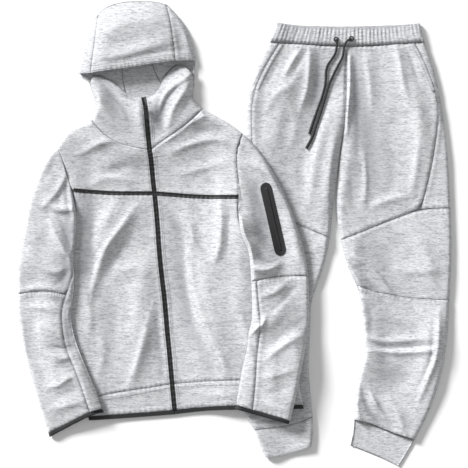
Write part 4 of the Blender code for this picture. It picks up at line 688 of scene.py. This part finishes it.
def fleece_piece(source, finish, creases, spacing=0.0040, seed=1, depth=0.0014, pucker=0.0006,
                 ripple=0.0007, gathered=False, rests_on=(), extra=None):
    """One cut piece of fleece with its folds, over the node of the same name."""
    piece = make_object(source + "_fleece", outer_shape(source, gathered))
    refine(piece, spacing, most=2 if gathered else 4)
    points, normals = coordinates(piece), vertex_normals(piece)
    upright = np.clip(normals[:, 2], 0, 1) ** 2
    lift = crease_height(points[:, :2], creases) + ripple * soft_noise(points[:, :2], 0.055, 5)
    if extra:
        lift = lift + extra(points)
    lift *= upright
    points[:, 2] += settle(lift, room_below(points, rests_on))
    set_coordinates(piece, points)
    # Painted shade in the fold hollows, from how deep each hollow sinks
    paint_fold_shade(piece, lift)
    work_seams(piece, depth, pucker, seed)
    tops.setdefault(source, (coordinates(piece), [tuple(face.vertices) for face in piece.data.polygons]))
    finish_cloth(piece, source, finish)
    declare_sheet(piece)
    return piece


def back_piece(source, finish, spacing=0.012):
    """A piece that lies face down, seen at its edges, from below and through the openings."""
    piece = make_object(source + "_under", outer_shape(source, up=False))
    refine(piece, spacing, most=2)
    work_seams(piece, 0.0, 0.0, 3)
    finish_cloth(piece, source, finish)
    declare_sheet(piece)
    return piece


def ring_piece(source, finish, creases=(), spacing=0.0032):
    """A cuff: one ring of cloth round the end of a flat tube."""
    piece = make_object(source + "_ring", outer_shape(source, all_round=True))
    refine(piece, spacing)
    points, normals = coordinates(piece), vertex_normals(piece)
    upper = np.clip(normals[:, 2], 0, 1) ** 2
    points[:, 2] += crease_height(points[:, :2], creases) * upper
    set_coordinates(piece, points)
    work_seams(piece, 0.0006, 0.0002, 4)
    tops.setdefault(source, (coordinates(piece), [tuple(face.vertices) for face in piece.data.polygons]))
    finish_cloth(piece, source, finish)
    points = coordinates(piece)
    return piece


tops = {}


def tree_over(*sources):
    """The upper cloth of some pieces, to lay things on."""
    points, faces, start = [], [], 0
    for source in sources:
        vertices, polygons = tops[source]
        points.append(vertices)
        faces.extend(tuple(number + start for number in face) for face in polygons)
        start += len(vertices)
    return BVHTree.FromPolygons([Vector(point) for point in np.concatenate(points)], faces)


def height_at(tree, x, y, otherwise):
    best = None
    for dx, dy in ((0, 0), (0.0008, 0), (-0.0008, 0), (0, 0.0008), (0, -0.0008)):
        spot, _, _, _ = tree.ray_cast(Vector((x + dx, y + dy, 0.3)), Vector((0, 0, -1)))
        if spot is not None and (best is None or spot.z > best):
            best = spot.z
    return otherwise if best is None else best


def laid_piece(source, finish, tree, thickness, reach=0.0):
    """A tape or patch laid on the cloth below it. A reach draws out its end at the zip by that much."""
    piece = make_object(source + "_laid", outer_shape(source, gathered=True))
    refine(piece, TAPE_SPACING, most=3)
    points = coordinates(piece)
    from_end = (points[:, 0] - points[:, 0].min()) / END_LENGTH
    points[:, 0] -= reach * np.clip(1 - from_end, 0, 1)
    for point in points:
        point[2] = height_at(tree, point[0], point[1], point[2] - thickness) + thickness
    set_coordinates(piece, points)
    tops.setdefault(source, (points.copy(), [tuple(face.vertices) for face in piece.data.polygons]))
    work_seams(piece, 0.0, 0.0, 2)
    finish_cloth(piece, source, finish, thickness)
    return piece


def offset_line(line, distance):
    tangent = np.gradient(line, axis=0)
    tangent /= np.linalg.norm(tangent, axis=1)[:, None]
    return line + distance * np.stack([-tangent[:, 1], tangent[:, 0]], axis=1)


def smooth(points, steps=16):
    """A dense smooth line through the points."""
    points = np.asarray(points, dtype=float)
    knots = np.vstack([2 * points[0] - points[1], points, 2 * points[-1] - points[-2]])
    dense = [points[0]]
    for before, start, end, after in zip(knots, knots[1:], knots[2:], knots[3:]):
        for step in range(1, steps + 1):
            t = step / steps
            dense.append(0.5 * (2 * start + (end - before) * t
                                + (2 * before - 5 * start + 4 * end - after) * t ** 2
                                + (3 * start - before - 3 * end + after) * t ** 3))
    return np.array(dense)


def evenly(line, gap):
    """Points along a dense line at an even gap."""
    length = np.concatenate([[0.0], np.cumsum(np.linalg.norm(np.diff(line, axis=0), axis=1))])
    count = max(1, int(length[-1] / gap))
    runs = np.linspace(0, length[-1], count + 1)
    return np.stack([np.interp(runs, length, line[:, axis]) for axis in range(line.shape[1])], axis=1)


STITCH_GAP = 0.0036
STITCH_LENGTH = 0.0026
STITCH_WIDTH = 0.0007
STITCH_SINK = 0.0001
STITCH_SECTION = ((-0.5, 0.0), (-0.3, 0.7), (0.3, 0.7), (0.5, 0.0))     # across and up, in widths


def stitch_rows(name, rows, tree, finish):
    """Rows of topstitching, each stitch a low rounded bar on the cloth."""
    vertices, faces = [], []
    for row in rows:
        line = evenly(row, STITCH_GAP)
        for start, end in zip(line, line[1:]):
            step = (end - start) / max(np.linalg.norm(end - start), 1e-9)
            side = np.array([-step[1], step[0]])
            middle = (start + end) / 2
            level = height_at(tree, middle[0], middle[1], None)
            if level is None:
                continue
            first = len(vertices)
            for share in (-0.5, 0.5):
                end_at = middle + share * STITCH_LENGTH * step
                base = height_at(tree, end_at[0], end_at[1], level) - STITCH_SINK
                for across, rise in STITCH_SECTION:
                    spot = end_at + across * STITCH_WIDTH * side
                    vertices.append((spot[0], spot[1], base + rise * STITCH_WIDTH))
            for number in range(3):
                near, far = first + number, first + number + 4
                faces.append((near, far, far + 1, near + 1))
            faces.append((first + 3, first + 7, first + 4, first))
            faces.append((first, first + 1, first + 2, first + 3))
            faces.append((first + 7, first + 6, first + 5, first + 4))
    mesh = bpy.data.meshes.new(name)
    mesh.from_pydata(vertices, [], faces)
    shape = bmesh.new()
    shape.from_mesh(mesh)
    bmesh.ops.recalc_face_normals(shape, faces=shape.faces)
    shape.to_mesh(mesh)
    shape.free()
    mesh.shade_smooth()
    mesh.materials.append(finish)
    made = bpy.data.objects.new(name, mesh)
    bpy.context.scene.collection.objects.link(made)
    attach(made, "garments")


# Cords: plan points of each route from its eyelet
CORD_ROUTES = {
    "right": ((336.2, 39.5), (336.9, 44), (335.4, 53), (331.5, 59.5), (328.0, 64.5), (326.0, 71),
              (325.7, 78), (325.2, 84), (323.6, 91), (321.2, 99), (318.3, 107), (315.2, 116),
              (312.1, 125), (309.3, 134)),
    "left": ((351.4, 38.7), (347.8, 40.3), (344.4, 45.5), (343.6, 51), (342.2, 57.5), (338.8, 64),
             (334.9, 71.5), (331.4, 79), (328.6, 86), (326.6, 93), (324.2, 101), (321.5, 110),
             (318.6, 119), (315.4, 128), (311.7, 138), (306.2, 148.5)),
}
CORD_DIAMETER = 0.005
TIP_DIAMETER = 0.0062
TIP_LENGTH = 0.045


def tube_piece(name, points, radius, finish, steps=3):
    curve = bpy.data.curves.new(name, "CURVE")
    curve.dimensions = "3D"
    curve.bevel_depth = radius
    curve.bevel_resolution = steps
    curve.use_fill_caps = True
    spline = curve.splines.new("POLY")
    spline.points.add(len(points) - 1)
    for spot, point in zip(spline.points, points):
        spot.co = (*point, 1)
    curve.materials.append(finish)
    made = bpy.data.objects.new(name, curve)
    bpy.context.scene.collection.objects.link(made)
    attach(made, "garments")
    return made


def read_line(line, runs, distances):
    """Points at the given distances along a line."""
    return np.stack([np.interp(distances, runs, line[:, axis]) for axis in range(3)], axis=1)


def add_cords(tree, braid, tape):
    for side, route in CORD_ROUTES.items():
        plan = evenly(smooth(place(route), 12), 0.004)
        level = []
        for x, y in plan:
            around = [height_at(tree, x + dx, y + dy, 0.012) for dx, dy in
                      ((0, 0), (0.0025, 0), (-0.0025, 0), (0, 0.0025), (0, -0.0025))]
            level.append(max(around) + TIP_DIAMETER / 2 + 0.0003)
        level = np.array(level)
        for _ in range(3):
            level[1:-1] = np.maximum(level[1:-1], 0.5 * (level[:-2] + level[2:]))
        if side == "left":
            level += over_other(plan, level, laid_cords)
        line = np.concatenate([plan, level[:, None]], axis=1)
        laid_cords.append(line)
        runs = np.concatenate([[0.0], np.cumsum(np.linalg.norm(np.diff(line, axis=0), axis=1))])
        tip_start = runs[-1] - TIP_LENGTH
        body = read_line(line, runs, np.append(runs[runs < tip_start - 0.003], tip_start - 0.0003))
        tip = read_line(line, runs, np.linspace(tip_start, runs[-1], 12))
        cord = tube_piece("drawcord_" + side + "_braid", body, CORD_DIAMETER / 2, braid)
        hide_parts("drawcord_" + side)
        end = tube_piece("drawcord_" + side + "_tip", tip, TIP_DIAMETER / 2, tape)
        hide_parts("drawcord_tip_" + side)


laid_cords = []


def over_other(plan, level, laid):
    """How far the second cord rises to pass over the first."""
    extra = np.zeros(len(plan))
    for line in laid:
        for number, spot in enumerate(plan):
            gap = np.linalg.norm(line[:, :2] - spot, axis=1)
            near = gap.argmin()
            if gap[near] < TIP_DIAMETER:
                room = math.sqrt(max((TIP_DIAMETER * 1.04) ** 2 - gap[near] ** 2, 0))
                extra[number] = max(extra[number], line[near, 2] + room - level[number])
    for _ in range(4):
        extra[1:-1] = np.maximum(extra[1:-1], 0.5 * (extra[:-2] + extra[2:]))
    return extra


def add_zip_teeth(tree, finish):
    """The coil of the front zip: one tooth modelled, then repeated along both edges."""
    line = evenly(smooth(place(ZIP_LINE), 16), 0.0021)
    bpy.ops.mesh.primitive_cube_add(size=1)
    tooth = bpy.context.object
    tooth.scale = (0.0021, 0.0012, 0.0011)
    bpy.ops.object.transform_apply(location=True, rotation=True, scale=True)
    apply_modifier(tooth, "BEVEL", width=0.0003, segments=1)
    base = coordinates(tooth)
    polygons = [tuple(face.vertices) for face in tooth.data.polygons]
    bpy.data.objects.remove(tooth)
    tangent = np.gradient(line, axis=0)
    tangent /= np.linalg.norm(tangent, axis=1)[:, None]
    vertices, faces = [], []
    for number, (spot, ahead) in enumerate(zip(line, tangent)):
        across = np.array([-ahead[1], ahead[0]])
        way = 1 if number % 2 else -1
        level = height_at(tree, spot[0], spot[1], None)
        if level is None:
            continue
        middle = spot + way * 0.0008 * across
        first = len(vertices)
        for x, y, z in base:
            flat = middle + x * across + y * ahead
            vertices.append((flat[0], flat[1], level + 0.0009 + z))
        faces.extend(tuple(first + corner for corner in face) for face in polygons)
    mesh = bpy.data.meshes.new("zip_coil")
    mesh.from_pydata(vertices, [], faces)
    mesh.materials.append(finish)
    mesh.shade_smooth()
    mesh.set_sharp_from_angle(angle=math.radians(40))
    made = bpy.data.objects.new("zip_coil", mesh)
    bpy.context.scene.collection.objects.link(made)
    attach(made, "garments")


ZIP_LINE = ((144.6, 102), (146, 110), (147.7, 130), (149.5, 150), (151, 160), (152.8, 180), (154.3, 193),
            (157, 220), (159, 250), (161, 270), (164.5, 300), (167, 330), (169, 350), (172, 384),
            (173.5, 400), (174.4, 409))
BRIM_LINE = ((77, 74), (90.5, 73.5), (110, 71), (130, 68.5), (152, 64.8), (175.5, 61.6), (196, 61))

# Distances of the topstitching from these lines
PLACKET_ROWS = (-0.0092, 0.0092, 0.0136)
BRIM_ROWS = (0.0050, 0.0105, 0.0160)


def gathers(points):
    """Small uneven puckers of the elastic waistband, deepest at its top edge."""
    x, y = points[:, 0], points[:, 1]
    top = place([(346, 24)])[0, 1]
    fade = np.clip(1 - (top - y) / 0.046, 0.15, 1)
    calm = np.clip(np.abs(x - place([(344, 40)])[0, 0]) / 0.030, 0.25, 1)
    uneven = 0.65 + 0.6 * soft_noise(points[:, :2], 0.024, 21)
    waves = np.sin(2 * math.pi * x / 0.0088 + 2.2 * soft_noise(points[:, :2], 0.030, 22))
    return 0.0017 * fade * calm * uneven * waves


def brim_hem(points):
    """A thick hem along the hood's opening, with the sewing sunk into it."""
    line = evenly(smooth(place(BRIM_LINE), 12), 0.002)
    tree = KDTree(len(line))
    for number, spot in enumerate(line):
        tree.insert((*spot, 0), number)
    tree.balance()
    gaps = np.array([tree.find((point[0], point[1], 0))[2] for point in points])
    hem = 0.0016 / (1 + np.exp((gaps - 0.0205) / 0.0011))
    rows = sum(-0.0007 * np.exp(-((gaps - row) / 0.0013) ** 2) for row in BRIM_ROWS)
    return hem + rows


def plan_row(points, aside=0.0):
    """A dense line in metres through plan points, moved aside to its left."""
    line = evenly(smooth(place(points), 12), 0.004)
    return offset_line(line, aside) if aside else line


# Seams with topstitching beside them: plan points, then the rows' distances to the left in mm
BODY_STITCHES = (
    (((92.6, 120), (101, 132), (116, 142), (132, 147.5), (146, 149.5)), (-3.4,)),
    (((153, 149), (164, 141.5), (180, 131), (194, 119), (203, 110)), (-3.6, 3.4)),
    (((82, 398), (110, 397.5), (140, 392), (170, 386)), (-3.2,)),
    (((176, 385.5), (210, 384), (250, 382.5), (294, 379.5)), (-3.2,)),
)
LEG_STITCHES = (
    (((281, 44), (269, 60), (257, 80), (250, 94)), (-3.2, 3.0)),
    (((413.5, 44), (423, 60), (432, 80), (438, 96)), (-3.0, 3.2)),
    (((345.6, 50), (345.6, 70), (345.2, 90), (344.8, 112)), (-3.4, 3.0)),
    (((352, 236), (372, 228), (398, 216), (422, 208.5)), (2.6,)),
    (((364, 286.5), (376, 289.5), (398, 296), (444, 301)), (-2.4,)),
    (((438.4, 106), (436, 130), (432, 152), (424, 204)), (2.4,)),
)


def stitched(name, table, tree, finish):
    rows = [plan_row(points, aside / 1000) for points, sides in table for aside in sides]
    stitch_rows(name, rows, tree, finish)


def add_hood_seams(dark):
    """The two crown seams where they show inside the open hood, as near-black cords whose colour is
    painted shadow along the seams.
    """
    for side, ends in (("right", ((122.0, 66), (122.6, 78), (124.5, 92))),
                       ("left", ((151.5, 62), (155, 72), (161, 84)))):
        line = evenly(smooth(place(ends), 8), 0.003)
        points = [(x, y, 0.0026) for x, y in line]
        seam = tube_piece("hood_inside_seam_" + side, points, 0.0011, dark, 2)


def build():
    body_cloth = marled_fleece("marled_fleece_body", 4)
    sleeve_cloth_right = marled_fleece("marled_fleece_right_sleeve", -12)
    sleeve_cloth_left = marled_fleece("marled_fleece_left_sleeve", 10)
    leg_cloth = marled_fleece("marled_fleece_legs", 2)
    hood_cloth = marled_fleece("marled_fleece_hood", -6)
    tape = bonded_tape("bonded_tape")
    braid = braided_cord("braided_cord")
    metal = dark_metal("dark_metal")
    thread = marled_fleece("grey_thread", 0, (0.30, 0.305, 0.32), (0.17, 0.175, 0.19))
    # Near-black cloth for the seams inside the hood: painted shadow along them.
    shadow_thread = marled_fleece("painted_seam_shadow", 0, (0.10, 0.10, 0.11), (0.05, 0.05, 0.055))

    for name in ("zip_slider", "zip_pull", "eyelet_left", "eyelet_right"):
        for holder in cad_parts[name].material_slots:
            holder.material = metal

    legs = ["thigh_front", "side_panel", "knee_panel", "shin_panel"]
    for side in ("right", "left"):
        for seed, part in enumerate(legs):
            fleece_piece(part + "_" + side, leg_cloth, JOGGER_CREASES, seed=seed,
                         rests_on=["leg_back_" + side])
        ring_piece("leg_cuff_" + side, leg_cloth, JOGGER_CREASES)
        back_piece("leg_back_" + side, leg_cloth)
    fleece_piece("waistband_front", leg_cloth, (), gathered=True, spacing=0.0022, depth=0.0008,
                 pucker=0.0002, ripple=0.0003, rests_on=["waistband_back"], extra=gathers)
    back_piece("waistband_back", leg_cloth)
    fronts = [part + "_" + side for part in legs for side in ("right", "left")]
    leg_top = tree_over("waistband_front", *fronts)
    for side in ("right", "left"):
        laid_piece("pocket_welt_" + side, leg_cloth, leg_top, WELT_THICKNESS)
    add_cords(leg_top, braid, tape)
    stitched("leg_topstitching", LEG_STITCHES, leg_top, thread)

    fronts = []
    for side in ("right", "left"):
        for seed, part in enumerate(("front_upper", "front_lower", "hem_band")):
            fleece_piece(part + "_" + side, body_cloth, JACKET_CREASES, seed=seed + 4,
                         rests_on=["jacket_back"])
            fronts.append(part + "_" + side)
        fleece_piece("hem_binding_" + side, tape, (), spacing=0.003, depth=0.0, pucker=0.0, ripple=0.0)
        fronts.append("hem_binding_" + side)
        fleece_piece("collar_" + side, hood_cloth, COLLAR_CREASES, seed=9, rests_on=["hood_back"])
        fronts.append("collar_" + side)
        fleece_piece("hood_side_" + side, hood_cloth, HOOD_CREASES, seed=10, extra=brim_hem,
                     rests_on=["hood_back"])
    fleece_piece("hood_crown", hood_cloth, HOOD_CREASES, seed=11, extra=brim_hem, rests_on=["hood_back"])
    back_piece("jacket_back", body_cloth)
    back_piece("hem_band_back", body_cloth)
    back_piece("hem_binding_back", tape)
    back_piece("hood_back", hood_cloth, spacing=0.008)

    front_top = tree_over(*fronts)
    for side in ("right", "left"):
        laid_piece("chest_tape_" + side, tape, front_top, TAPE_THICKNESS,
                   reach=CHEST_TAPE_REACH if side == "left" else 0.0)
        laid_piece("zip_tape_" + side, tape, front_top, TAPE_THICKNESS)
    zip_top = tree_over("zip_tape_right", "zip_tape_left", *fronts)
    laid_piece("zip_chain", tape, zip_top, CHAIN_THICKNESS)
    add_zip_teeth(zip_top, tape)
    rows = [plan_row(ZIP_LINE, aside) for aside in PLACKET_ROWS]
    stitch_rows("placket_topstitching", rows, front_top, thread)
    stitched("body_topstitching", BODY_STITCHES, front_top, thread)
    rows = [plan_row(BRIM_LINE[1:-1], aside) for aside in BRIM_ROWS]
    hood_top = tree_over("hood_crown", "hood_side_right", "hood_side_left")
    stitch_rows("brim_topstitching", rows, hood_top, thread)
    add_hood_seams(shadow_thread)

    for side, cloth in (("right", sleeve_cloth_right), ("left", sleeve_cloth_left)):
        for seed, part in enumerate(("sleeve_upper", "sleeve_lower", "sleeve_under")):
            fleece_piece(part + "_" + side, cloth, SLEEVE_CREASES, seed=seed + 14,
                         rests_on=["sleeve_back_" + side])
        ring_piece("cuff_binding_" + side, tape, spacing=0.003)
        back_piece("sleeve_back_" + side, cloth)
    sleeve_top = tree_over("sleeve_upper_left", "sleeve_lower_left")
    laid_piece("sleeve_pocket", tape, sleeve_top, POCKET_THICKNESS)
    pocket_top = tree_over("sleeve_pocket", "sleeve_upper_left", "sleeve_lower_left")
    laid_piece("sleeve_pocket_zip", tape, pocket_top, POCKET_ZIP_THICKNESS)


add_camera()
add_studio()
build()
